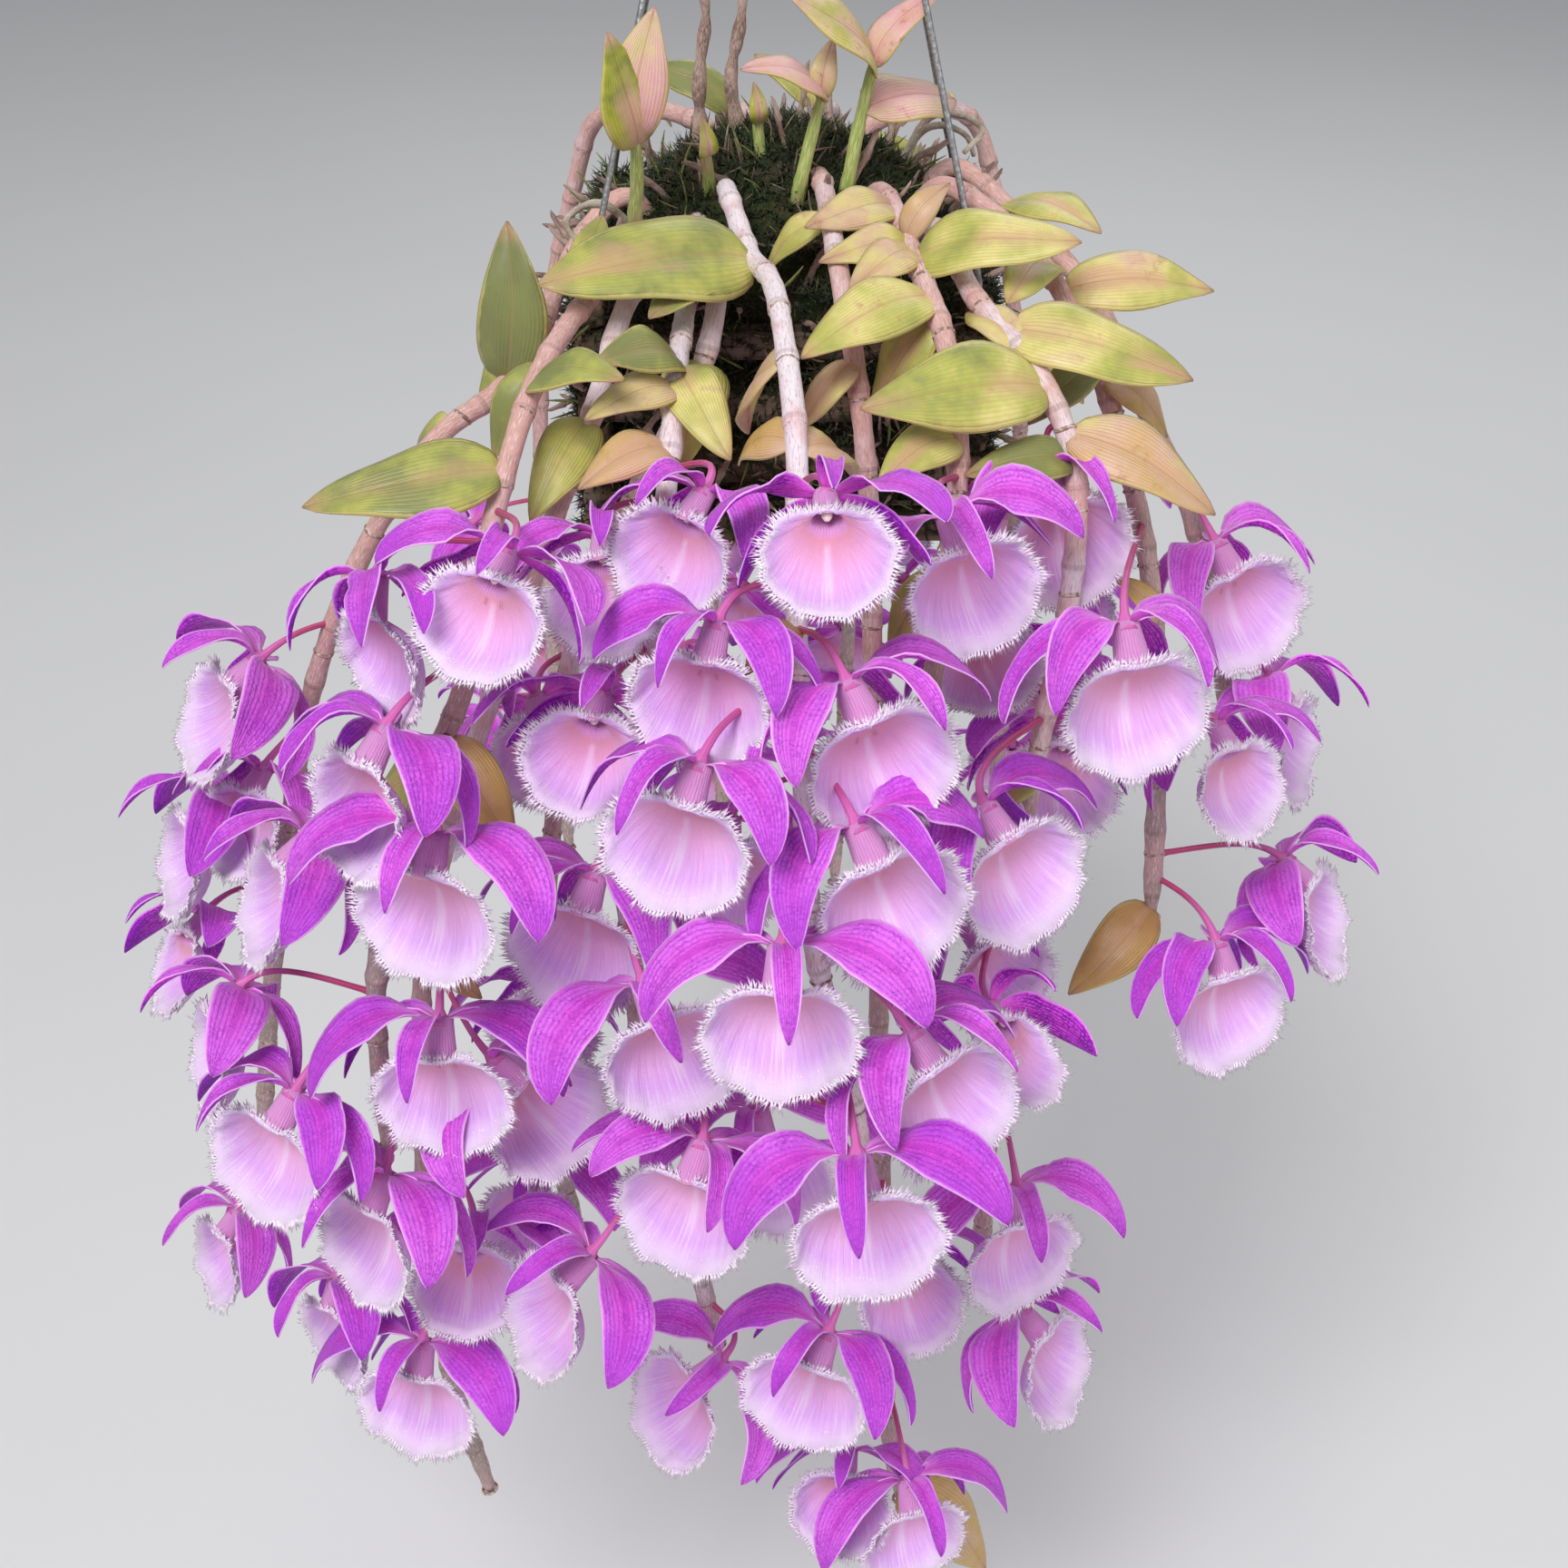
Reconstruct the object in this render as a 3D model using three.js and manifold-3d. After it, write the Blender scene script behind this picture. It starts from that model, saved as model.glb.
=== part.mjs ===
import * as THREE from 'three';
import { mergeVertices } from 'three/addons/utils/BufferGeometryUtils.js';
import Module from 'manifold-3d';

const wasm = await Module();
wasm.setup();

// Driving dimensions, in millimetres. The origin is the point where the hook hangs.
const hangerHeight = 250;
const gap = 0.3;
const basket = { width: 110, top: -14, rail: 8.5, tiers: 8, floorSlats: 4 };
const wire = { radius: 0.9, hole: 1.4, bead: 2.4, beadHeight: 2, sides: 4, holeSides: 6 };
const hook = { radius: 1.4, bend: 10, shank: 17, collar: 3, collarHeight: 14, sides: 6, steps: 15 };
const moss = { crown: 14, fall: 25, fallRadius: 48, clearance: 0.5, segments: 4, layers: 2 };
const stemSteps = { crowding: 1.5 };
const rooting = { inward: 0.72, height: -16 };
const cane = { radius: 2.8, sides: 6, steps: 12 };
const pedicel = { radius: 1, sides: 3, steps: 3, rise: 12, approach: 10, endAbove: 2.4, endAhead: 0.5 };
const lip = {
  reach: 18,
  width: 31,
  tube: 4.4,
  tubeLength: 3,
  throat: 11,
  mouthHalfHeight: 8,
  mouthDrop: 4,
  mouthTilt: 10,
};
const tepal = { petal: 32, dorsal: 30, lateral: 31, notch: 6, hub: 4 };
const flowerSize = { least: 0.94, most: 1.12 };
const openSide = { out: 0.8, up: 0.6 };
const leaf = { widthRatio: 0.42, thickness: 1.4, arch: 3.5, middle: 0.45, faceUp: 0.8, faceOut: 0.9 };
const shoot = { radius: 2.1, steps: 6 };
const root = { radius: 1.3, steps: 10 };

// The view that the plant was measured in: a pinhole in front of the basket and above it, looking
// down. A place seen in it is a column u, a row v and a depth y, where y = 0 is the basket's centre.
const view = {
  eye: new THREE.Vector3(0, -593, 181),
  pitch: THREE.MathUtils.degToRad(32.6),
  focal: 2374,
  centre: 864,
};
const rightward = new THREE.Vector3(1, 0, 0);
const forward = new THREE.Vector3(0, Math.cos(view.pitch), -Math.sin(view.pitch));
const upward = new THREE.Vector3(0, Math.sin(view.pitch), Math.cos(view.pitch));
const sky = new THREE.Vector3(0, 0, 1);

function seen(u, v, y) {
  const ray = forward.clone();
  ray.addScaledVector(rightward, (u - view.centre) / view.focal);
  ray.addScaledVector(upward, (view.centre - v) / view.focal);
  return view.eye.clone().addScaledVector(ray, (y - view.eye.y) / ray.y);
}

function millimetresPerPixel(point) {
  return point.clone().sub(view.eye).dot(forward) / view.focal;
}

// Flowering canes, from the moss to the tip. Each flower has the place where its stalk joins it, the
// middle of its lip, and the heading of its open side in degrees, 0 to the front and 90 to the right.
// Each leaf has the place of its base and of its tip.
const frontCanes = [
  {
    name: 'cane_centre',
    track: [[800, 208, -30], [828, 283, -66], [850, 310, -84], [865, 380, -110], [878, 500, -138],
      [878, 690, -160], [885, 850, -172], [895, 1030, -180], [935, 1190, -186], [955, 1290, -188]],
    leaves: [
      { base: [828, 290], tip: [592, 315, -95] },
      { base: [878, 690], tip: [822, 745, -175] },
      { base: [868, 400], tip: [826, 478, -96] },
      { base: [875, 485], tip: [815, 512, -120] },
      { base: [878, 500], tip: [940, 528, -118] },
    ],
    flowers: [
      { joint: [910, 548, -172], lip: [912, 615], yaw: 0 },
      { joint: [790, 690, -186], lip: [768, 780], yaw: -5 },
      { joint: [935, 755, -190], lip: [980, 855], yaw: 10 },
      { joint: [770, 845, -205], lip: [740, 940], yaw: -8 },
      { joint: [945, 912, -205], lip: [990, 1010], yaw: 8 },
      { joint: [862, 1045, -222], lip: [860, 1160], yaw: 0 },
      { joint: [1005, 1140, -214], lip: [1078, 1255], yaw: 25 },
      { joint: [945, 1275, -220], lip: [960, 1385], yaw: 3 },
      { joint: [835, 1225, -165], lip: [848, 1310], yaw: -10 },
    ],
  },
  {
    name: 'cane_left_front',
    track: [[690, 300, -50], [640, 340, -84], [590, 420, -112], [560, 510, -130], [540, 590, -140],
      [510, 760, -150], [440, 920, -158], [415, 1080, -162], [427, 1263, -160]],
    leaves: [
      { base: [595, 430], tip: [688, 420, -130] },
      { base: [548, 520], tip: [334, 560, -140] },
      { base: [600, 405], tip: [545, 505, -114] },
      { base: [646, 335], tip: [664, 238, -64] },
      { base: [490, 820], tip: [566, 934, -165] },
      { base: [470, 850], tip: [418, 908, -140] },
    ],
    flowers: [
      { joint: [560, 612, -170], lip: [530, 685], yaw: -12 },
      { joint: [415, 640, -160], lip: [408, 732], yaw: -70 },
      { joint: [425, 805, -182], lip: [378, 905], yaw: -50 },
      { joint: [480, 920, -192], lip: [458, 1035], yaw: -20 },
      { joint: [340, 925, -146], lip: [262, 1015], yaw: -70 },
      { joint: [265, 1090, -150], lip: [190, 1215], yaw: -75 },
      { joint: [325, 1205, -184], lip: [282, 1290], yaw: -25 },
      { joint: [425, 1295, -186], lip: [385, 1395], yaw: -45 },
    ],
  },
  {
    name: 'cane_left_low',
    track: [[735, 250, -34], [718, 286, -54], [686, 345, -78], [655, 450, -100], [615, 560, -116],
      [565, 700, -122], [512, 860, -128], [475, 1000, -132], [465, 1088, -135], [467, 1280, -140], [485, 1440, -142],
      [500, 1530, -142], [540, 1640, -140]],
    leaves: [
      { base: [650, 465], tip: [585, 575, -125] },
      { base: [500, 1045], tip: [530, 1100, -140] },
    ],
    flowers: [
      { joint: [545, 1170, -170], lip: [625, 1248], yaw: 30 },
      { joint: [485, 1125, -184], lip: [485, 1222], yaw: -10 },
      { joint: [372, 1410, -150], lip: [360, 1478], yaw: -60 },
      { joint: [467, 1480, -168], lip: [448, 1600], yaw: -15 },
      { joint: [522, 1352, -166], lip: [520, 1408], yaw: 5 },
    ],
  },
  {
    name: 'cane_centre_left',
    track: [[770, 246, -30], [757, 330, -66], [745, 420, -104], [738, 500, -122], [725, 640, -138],
      [705, 800, -150], [690, 950, -157], [700, 1100, -162], [720, 1250, -162], [765, 1380, -158],
      [790, 1480, -155]],
    leaves: [
      { base: [745, 400], tip: [658, 400, -120] },
      { base: [740, 500], tip: [638, 540, -135] },
      { base: [748, 410], tip: [805, 508, -125] },
      { base: [740, 430], tip: [645, 464, -124] },
    ],
    flowers: [
      { joint: [775, 545, -150], lip: [735, 615], yaw: -20 },
      { joint: [665, 770, -164], lip: [645, 835], yaw: -10 },
      { joint: [655, 965, -172], lip: [628, 1055], yaw: -15 },
      { joint: [775, 1260, -196], lip: [742, 1362], yaw: -20 },
      { joint: [650, 1385, -188], lip: [590, 1450], yaw: -60 },
      { joint: [710, 1085, -190], lip: [752, 1185], yaw: 5 },
      { joint: [795, 1500, -168], lip: [730, 1560], yaw: -50 },
      { joint: [665, 590, -142], lip: [668, 662], yaw: -15 },
    ],
  },
  {
    name: 'cane_centre_right',
    track: [[965, 212, -28], [1010, 290, -74], [1045, 390, -104], [1056, 500, -120], [1045, 640, -132],
      [1020, 800, -140], [1010, 1000, -146], [1020, 1150, -150], [1040, 1300, -150]],
    leaves: [
      { base: [1012, 280], tip: [1192, 268, -90] },
      { base: [1022, 330], tip: [883, 396, -110] },
      { base: [1005, 280], tip: [935, 326, -90] },
      { base: [1012, 262], tip: [1047, 203, -60] },
      { base: [1052, 490], tip: [966, 540, -135] },
      { base: [1045, 635], tip: [980, 718, -148] },
      { base: [978, 232], tip: [887, 252, -64] },
      { base: [998, 270], tip: [903, 290, -74] },
      { base: [1030, 345], tip: [962, 452, -90] },
    ],
    flowers: [
      { joint: [1045, 570, -153], lip: [1078, 655], yaw: 10 },
      { joint: [1066, 692, -106], lip: [1083, 732], yaw: 0 },
    ],
  },
  {
    name: 'cane_right_inner',
    track: [[1025, 250, -32], [1076, 330, -86], [1125, 385, -104], [1160, 440, -114], [1185, 520, -122],
      [1180, 650, -130], [1150, 800, -136], [1120, 950, -140], [1100, 1100, -142], [1090, 1250, -142],
      [1080, 1400, -140]],
    leaves: [
      { base: [1112, 360], tip: [1314, 420, -110] },
      { base: [1155, 430], tip: [948, 452, -130] },
      { base: [1175, 475], tip: [1338, 568, -130] },
      { base: [1182, 505], tip: [1064, 525, -125] },
      { base: [1145, 850], tip: [1085, 905, -150] },
      { base: [1125, 385], tip: [1066, 346, -84] },
    ],
    flowers: [
      { joint: [1159, 521, -119], lip: [1182, 606], yaw: 12 },
      { joint: [1165, 800, -122], lip: [1172, 862], yaw: 20 },
      { joint: [1085, 890, -172], lip: [1142, 985], yaw: 25 },
      { joint: [1090, 1112, -174], lip: [1120, 1150], yaw: 50 },
      { joint: [1060, 1010, -156], lip: [1112, 1078], yaw: 35 },
      { joint: [1120, 1310, -170], lip: [1132, 1395], yaw: 35 },
      { joint: [1125, 1445, -158], lip: [1182, 1520], yaw: 60 },
    ],
  },
  {
    name: 'cane_right_outer',
    track: [[1032, 206, -24], [1090, 232, -40], [1152, 296, -62], [1195, 370, -80], [1225, 450, -90],
      [1262, 600, -102], [1275, 740, -112], [1275, 850, -118], [1272, 940, -122], [1268, 1010, -124]],
    leaves: [
      { base: [1170, 325], tip: [1337, 322, -70] },
      { base: [1150, 292], tip: [1110, 336, -90] },
      { base: [1215, 420], tip: [1285, 482, -90] },
      { base: [1270, 1000], tip: [1178, 1096, -140] },
      { base: [1212, 405], tip: [1134, 468, -92] },
      { base: [1268, 690], tip: [1228, 636, -112] },
    ],
    flowers: [
      { joint: [1240, 690, -166], lip: [1260, 798], yaw: 12 },
      { joint: [1340, 800, -128], lip: [1370, 865], yaw: 40 },
      { joint: [1415, 950, -108], lip: [1490, 1035], yaw: 70 },
      { joint: [1340, 1040, -140], lip: [1365, 1135], yaw: 25 },
    ],
  },
  {
    name: 'cane_right_back',
    track: [[1046, 184, -4], [1116, 233, -16], [1200, 321, -34], [1262, 450, -54], [1310, 560, -62],
      [1340, 680, -68], [1352, 800, -72]],
    leaves: [
      { base: [1100, 240], tip: [1213, 258, -42] },
      { base: [1262, 450], tip: [1200, 402, -60] },
    ],
    flowers: [
      { joint: [1340, 600, -82], lip: [1390, 700], yaw: 12 },
      { joint: [1400, 750, -84], lip: [1462, 868], yaw: 70 },
    ],
  },
  {
    name: 'cane_centre_back',
    track: [[900, 196, -16], [925, 300, -74], [945, 420, -92], [958, 560, -100], [960, 640, -104],
      [962, 740, -112], [965, 900, -124], [968, 1100, -134], [972, 1300, -142], [975, 1460, -146],
      [978, 1560, -148], [992, 1650, -148]],
    leaves: [
      { base: [915, 240], tip: [846, 300, -52] },
      { base: [918, 250], tip: [974, 246, -34] },
      { base: [940, 400], tip: [882, 474, -100] },
      { base: [988, 1640], tip: [1085, 1728, -150] },
    ],
    flowers: [
      { joint: [912, 1470, -184], lip: [872, 1580], yaw: -8 },
      { joint: [1000, 1632, -176], lip: [1012, 1705], yaw: 30 },
      { joint: [935, 1600, -166], lip: [925, 1655], yaw: -10 },
      { joint: [805, 905, -134], lip: [800, 970], yaw: -5 },
      { joint: [985, 1375, -160], lip: [1005, 1430], yaw: 15 },
    ],
  },
  {
    name: 'cane_left_outer',
    track: [[690, 216, -18], [648, 252, -24], [612, 322, -50], [585, 385, -76], [545, 435, -90],
      [490, 475, -98], [410, 590, -98], [350, 740, -96], [320, 900, -94], [300, 1080, -92], [290, 1250, -90]],
    leaves: [
      { base: [560, 422], tip: [560, 244, -80] },
      { base: [500, 470], tip: [470, 560, -80] },
    ],
    flowers: [
      { joint: [285, 730, -108], lip: [212, 800], yaw: -60 },
      { joint: [235, 880, -100], lip: [185, 950], yaw: -70 },
      { joint: [290, 850, -108], lip: [262, 910], yaw: -40 },
      { joint: [225, 1010, -98], lip: [195, 1060], yaw: -75 },
      { joint: [262, 1335, -108], lip: [232, 1390], yaw: -60 },
    ],
  },
  {
    name: 'cane_left_inner',
    track: [[786, 272, -46], [790, 330, -70], [775, 400, -78], [735, 480, -88], [672, 600, -94], [630, 720, -96],
      [610, 900, -104], [600, 1100, -112], [610, 1250, -118], [640, 1370, -122]],
    leaves: [
      { base: [790, 310], tip: [715, 352, -95] },
      { base: [715, 460], tip: [800, 440, -95] },
      { base: [775, 400], tip: [752, 516, -112] },
    ],
    flowers: [
      { joint: [600, 1285, -146], lip: [585, 1348], yaw: -10 },
      { joint: [600, 1080, -120], lip: [605, 1130], yaw: 5 },
      { joint: [592, 770, -106], lip: [600, 830], yaw: -20 },
    ],
  },
];

// Canes on the side that the view doesn't reach hang closer in. Each has where it leaves the moss, the
// heading of its arch round the basket in degrees from the right, how far the heading has turned at
// its foot, its reach, and the heights of its first flower and of its foot. Each leaf has its node,
// and how far its tip lies aside of it and above it.
const backCanes = [
  {
    name: 'cane_back_right',
    way: { start: 33, heading: 48, lean: -6, reach: 112, first: -142, foot: -262 },
    leaves: [[4, -26, -12], [6, -28, -20], [7, 22, -24]],
  },
  {
    name: 'cane_back_middle_right',
    way: { start: 24, heading: 76, lean: 4, reach: 124, first: -90, foot: -318 },
    leaves: [[3, -24, 12], [4, 29, -8], [5, -29, -20], [6, 26, -22], [7, -24, -20]],
  },
  {
    name: 'cane_back_middle_left',
    way: { start: 32, heading: 106, lean: -3, reach: 111, first: -90, foot: -286 },
    leaves: [[3, -24, 12], [4, 24, -8], [5, -28, -20], [6, 26, -22], [7, -24, -20]],
  },
  {
    name: 'cane_back_left',
    way: { start: 27, heading: 132, lean: 6, reach: 116, first: -146, foot: -272 },
    leaves: [[4, 26, -12], [6, 28, -20], [7, -22, -24]],
  },
];
const backRule = {
  startHeight: 6,
  clear: 6.5,
  rimHeight: 1,
  neck: 14,
  neckHeight: -24,
  bellyHeight: -90,
  hipHeight: -150,
  tuck: 8,
  spacing: 26,
  stalk: 26,
  turns: [-40, 14, 40, -14],
  leafOut: 10,
};

// New leafy shoots that rise from the moss.
const shoots = [
  {
    name: 'shoot_left',
    track: [[702, 250, -38], [702, 205, -43], [700, 140, -50]],
    leaves: [
      { base: [702, 160], tip: [668, 36, -58] },
      { base: [701, 146], tip: [722, 8, -54] },
    ],
  },
  {
    name: 'shoot_bud_left',
    track: [[784, 240, -20], [782, 205, -24], [776, 160, -32]],
    leaves: [{ base: [776, 170], tip: [772, 128, -34] }],
  },
  {
    name: 'shoot_bud_middle',
    track: [[842, 212, -14], [838, 170, -14], [834, 125, -14]],
    leaves: [{ base: [835, 135], tip: [830, 92, -14] }],
  },
  {
    name: 'shoot_middle',
    track: [[880, 214, -30], [892, 160, -30], [906, 105, -30]],
    leaves: [
      { base: [905, 110], tip: [816, 78, -48] },
      { base: [906, 108], tip: [918, 44, -26] },
    ],
  },
  {
    name: 'shoot_right',
    track: [[932, 212, -26], [944, 150, -26], [962, 72, -26]],
    leaves: [
      { base: [962, 78], tip: [868, -4, -46] },
      { base: [964, 74], tip: [1034, -6, -20] },
      { base: [950, 122], tip: [1052, 112, 0] },
    ],
  },
];

// Bare old stems and aerial roots on the moss.
const oldStems = [
  { name: 'old_stem_left', track: [[772, 150, 6], [770, 90, 6], [778, 20, 8], [772, -30, 10]] },
  { name: 'old_stem_right', track: [[812, 140, 8], [806, 80, 8], [818, 10, 10], [822, -50, 12]] },
];
const roots = [
  { name: 'root_right_back', track: [[1010, 150, 12], [1038, 138, 8], [1064, 150, 6], [1072, 172, 8]] },
  { name: 'root_right', track: [[1022, 132, 24], [1062, 128, 14], [1082, 146, 0], [1062, 168, -4]] },
  { name: 'root_left', track: [[676, 232, -36], [650, 226, -40], [624, 244, -50], [640, 268, -58]] },
];

const colours = {
  wood: 0x4b3a28,
  wire: 0x5d5f61,
  moss: 0x1e2a16,
  flowering: 0xc04fd0,
  shoot: 0xa7b45a,
  oldStem: 0x8a7360,
  root: 0xb9ab98,
};

function finish(colour, roughness, metalness = 0) {
  return new THREE.MeshStandardMaterial({ color: colour, roughness, metalness });
}

// Solids: a geometry with its corners merged and its faces outwards, ready to be joined or cut.
function solid(geometry) {
  geometry.deleteAttribute('normal');
  geometry.deleteAttribute('uv');
  const merged = mergeVertices(geometry, 1e-3);
  const position = merged.getAttribute('position');
  const kept = [];
  const index = merged.getIndex().array;
  for (let i = 0; i < index.length; i += 3) {
    const [a, b, c] = index.slice(i, i + 3);
    if (a !== b && b !== c && c !== a) kept.push(a, b, c);
  }
  const mesh = new wasm.Mesh({
    numProp: 3,
    vertProperties: Float32Array.from(position.array),
    triVerts: Uint32Array.from(kept),
  });
  const body = new wasm.Manifold(mesh);
  if (body.volume() > 0) return body;
  mesh.triVerts = Uint32Array.from(kept).reverse();
  return new wasm.Manifold(mesh);
}

function joined(solids) {
  return solids.reduce((whole, piece) => whole.add(piece));
}

function node(name, body, material) {
  const { vertProperties, triVerts } = body.getMesh();
  const geometry = new THREE.BufferGeometry();
  geometry.setAttribute('position', new THREE.BufferAttribute(vertProperties, 3));
  geometry.setIndex(new THREE.BufferAttribute(triVerts, 1));
  geometry.computeVertexNormals();
  const mesh = new THREE.Mesh(geometry, material);
  mesh.name = name;
  return mesh;
}

function tube(curve, radius, sides, steps) {
  const section = new THREE.Shape(new THREE.EllipseCurve(0, 0, radius, radius).getPoints(sides).slice(0, -1));
  return solid(new THREE.ExtrudeGeometry(section, { steps, extrudePath: curve, bevelEnabled: false }));
}

// A stem's curve, whose steps are short where it arches and long where it hangs.
class StemCurve extends THREE.Curve {
  constructor(points) {
    super();
    this.path = new THREE.CatmullRomCurve3(points, false, 'centripetal');
  }

  getPoint(share, target) {
    return this.path.getPointAt(share ** stemSteps.crowding, target);
  }

  getPointAt(share, target) {
    return this.getPoint(share, target);
  }
}

// A stem starts inside the moss, below and inwards of the first place where it is seen.
function trackCurve(track) {
  const points = track.map((place) => seen(...place));
  const buried = points[0].clone().multiplyScalar(rooting.inward).setZ(rooting.height);
  return new StemCurve([buried, ...points]);
}

// Points along the straight steps of a stem.
function chordPoints(curve) {
  const ends = curve.getSpacedPoints(cane.steps);
  const shares = Array.from({ length: 12 }, (_, i) => i / 12);
  return ends.slice(1).flatMap((end, i) => shares.map((share) => ends[i].clone().lerp(end, share)));
}

// The point of a stem that is seen nearest to a column and row.
function seenOn(curve, [u, v]) {
  const distance = (point) => {
    const away = point.clone().sub(view.eye);
    const scale = view.focal / away.dot(forward);
    const across = away.dot(rightward) * scale + view.centre;
    const down = view.centre - away.dot(upward) * scale;
    return Math.hypot(across - u, down - v);
  };
  return chordPoints(curve).reduce((best, point) => (distance(point) < distance(best) ? point : best));
}

function nearestOn(curve, target) {
  const nearer = (best, point) => (point.distanceTo(target) < best.distanceTo(target) ? point : best);
  return chordPoints(curve).reduce(nearer);
}

// A leaf: a lens with an ovate outline, arched along its length, with its face to the light. Each
// corner of the outline is its share of the length and of the half width.
const leafOutline = [[0, 0], [0.14, 0.6], [0.42, 1], [0.74, 0.62], [1, 0], [0.74, -0.62], [0.42, -1], [0.14, -0.6]];

function leafSolid(base, tip) {
  const length = base.distanceTo(tip);
  const halfWidth = (length * leaf.widthRatio) / 2;
  const profile = [[0, -leaf.thickness / 2], [1, 0], [0, leaf.thickness / 2]];
  const outline = profile.map(([x, y]) => new THREE.Vector2(x, y));
  const geometry = new THREE.LatheGeometry(outline, leafOutline.length);
  const position = geometry.getAttribute('position');
  for (let i = 0; i < position.count; i += 1) {
    const side = i % profile.length;
    const corner = leafOutline[Math.floor(i / profile.length) % leafOutline.length];
    if (side === 1) {
      const [along, across] = corner;
      position.setXYZ(i, along * length, across * halfWidth, leaf.arch * Math.sin(Math.PI * along));
    } else {
      position.setXYZ(i, leaf.middle * length, 0, leaf.arch + profile[side][1]);
    }
  }
  const along = tip.clone().sub(base).normalize();
  const face = sky.clone().multiplyScalar(leaf.faceUp).addScaledVector(forward, -leaf.faceOut);
  const across = face.clone().cross(along).normalize();
  const normal = along.clone().cross(across);
  geometry.applyMatrix4(new THREE.Matrix4().makeBasis(along, across, normal).setPosition(base));
  return solid(geometry);
}

// A flower: five tepals round a hub and a lip that opens from a short tube. In its own frame the lip
// points along +Z and the dorsal sepal stands to +Y. Each tepal corner is its angle, its distance
// from the hub and how far it comes forward.
const tepalHalf = [
  [90, tepal.dorsal * 0.78, tepal.dorsal * 0.6],
  [52, tepal.notch, 0],
  [32, tepal.petal * 0.56, 8],
  [6, tepal.petal * 0.93, 11],
  [-14, tepal.petal * 0.56, 1],
  [-27, tepal.notch, 0],
  [-50, tepal.lateral * 0.96, 7],
  [-90, tepal.notch, 0],
];
const mirrored = tepalHalf.slice(1, -1).reverse().map(([angle, ...rest]) => [180 - angle, ...rest]);
const tepalOutline = [...tepalHalf, ...mirrored];

function flowerSolid({ origin, axis, dorsal, size }) {
  const rings = 5;
  const profile = Array.from({ length: rings }, (_, ring) => new THREE.Vector2(ring % (rings - 1) ? 1 : 0, ring));
  const geometry = new THREE.LatheGeometry(profile, tepalOutline.length);
  const position = geometry.getAttribute('position');
  for (let i = 0; i < position.count; i += 1) {
    const [angle, distance, ahead] = tepalOutline[Math.floor(i / rings) % tepalOutline.length];
    const x = Math.cos(THREE.MathUtils.degToRad(angle));
    const y = Math.sin(THREE.MathUtils.degToRad(angle));
    const corners = [
      [0, 0, -tepal.hub],
      [distance * x, distance * y, ahead],
      [lip.tube * x, lip.tube * y, lip.tubeLength],
      [(lip.width / 2) * x, lip.mouthHalfHeight * y - lip.mouthDrop, lip.reach - lip.mouthTilt * y],
      [0, 0, lip.throat],
    ];
    position.setXYZ(i, ...corners[i % rings]);
  }
  const side = dorsal.clone().cross(axis);
  const place = new THREE.Matrix4().makeBasis(side, dorsal, axis);
  place.scale(new THREE.Vector3(size, size, size)).setPosition(origin);
  geometry.applyMatrix4(place);
  return solid(geometry);
}

// The dorsal side of a flower lies across its axis, towards its heading and the sky.
function dorsalOf(axis, yaw) {
  const heading = new THREE.Vector3(Math.sin(yaw), -Math.cos(yaw), 0);
  const dorsal = heading.multiplyScalar(openSide.out).addScaledVector(sky, openSide.up);
  return dorsal.addScaledVector(axis, -dorsal.dot(axis)).normalize();
}

// A flower's place from what is seen of it: the lip's middle lies across the view from the joint, and
// what is left of the lip's reach comes towards the eye.
function seenFlower({ joint, lip: middle, yaw }) {
  const origin = seen(...joint);
  const scale = millimetresPerPixel(origin);
  const across = (middle[0] - joint[0]) * scale;
  const down = (middle[1] - joint[1]) * scale;
  const size = THREE.MathUtils.clamp(Math.hypot(across, down) / lip.reach, flowerSize.least, flowerSize.most);
  const toward = Math.sqrt(Math.max((lip.reach * size) ** 2 - across ** 2 - down ** 2, 0));
  const axis = rightward.clone().multiplyScalar(across);
  axis.addScaledVector(upward, -down).addScaledVector(forward, -toward).normalize();
  return { origin, axis, dorsal: dorsalOf(axis, THREE.MathUtils.degToRad(yaw)), size };
}

// The stalk of a flower leaves its cane a little higher up and reaches the hub from behind.
function stalkSolid(curve, { origin, axis, dorsal }) {
  const start = nearestOn(curve, origin.clone().addScaledVector(sky, pedicel.rise));
  const bend = origin.clone().addScaledVector(axis, -pedicel.approach);
  const end = origin.clone().addScaledVector(dorsal, pedicel.endAbove).addScaledVector(axis, pedicel.endAhead);
  const path = new THREE.QuadraticBezierCurve3(start, bend, end);
  return tube(path, pedicel.radius, pedicel.sides, pedicel.steps);
}

function leavesOn(curve, leaves) {
  return leaves.map(({ base, tip }) => leafSolid(seenOn(curve, base), seen(...tip)));
}

// The level way out from the basket that a back cane has at a height, turned further by some degrees.
function backWay({ heading, lean, foot }, height, turn = 0) {
  const share = THREE.MathUtils.clamp(height / foot, 0, 1);
  const angle = THREE.MathUtils.degToRad(heading + lean * share + turn);
  return new THREE.Vector3(Math.cos(angle), Math.sin(angle), 0);
}

// A back cane's curve: out over the rim, along its arch and down to its foot.
function backCurve(way) {
  const at = (distance, height) => backWay(way, height).multiplyScalar(distance).setZ(height);
  const level = backWay(way, 0);
  const rim = (basket.width / 2 + backRule.clear) / Math.max(Math.abs(level.x), Math.abs(level.y));
  const points = [
    at(way.start * rooting.inward, rooting.height),
    at(way.start, backRule.startHeight),
    at(rim, backRule.rimHeight),
    at(rim + backRule.neck, backRule.neckHeight),
    at(way.reach, backRule.bellyHeight),
    at(way.reach, backRule.hipHeight),
    at(way.reach - backRule.tuck, way.foot),
  ];
  return new StemCurve(points);
}

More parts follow.
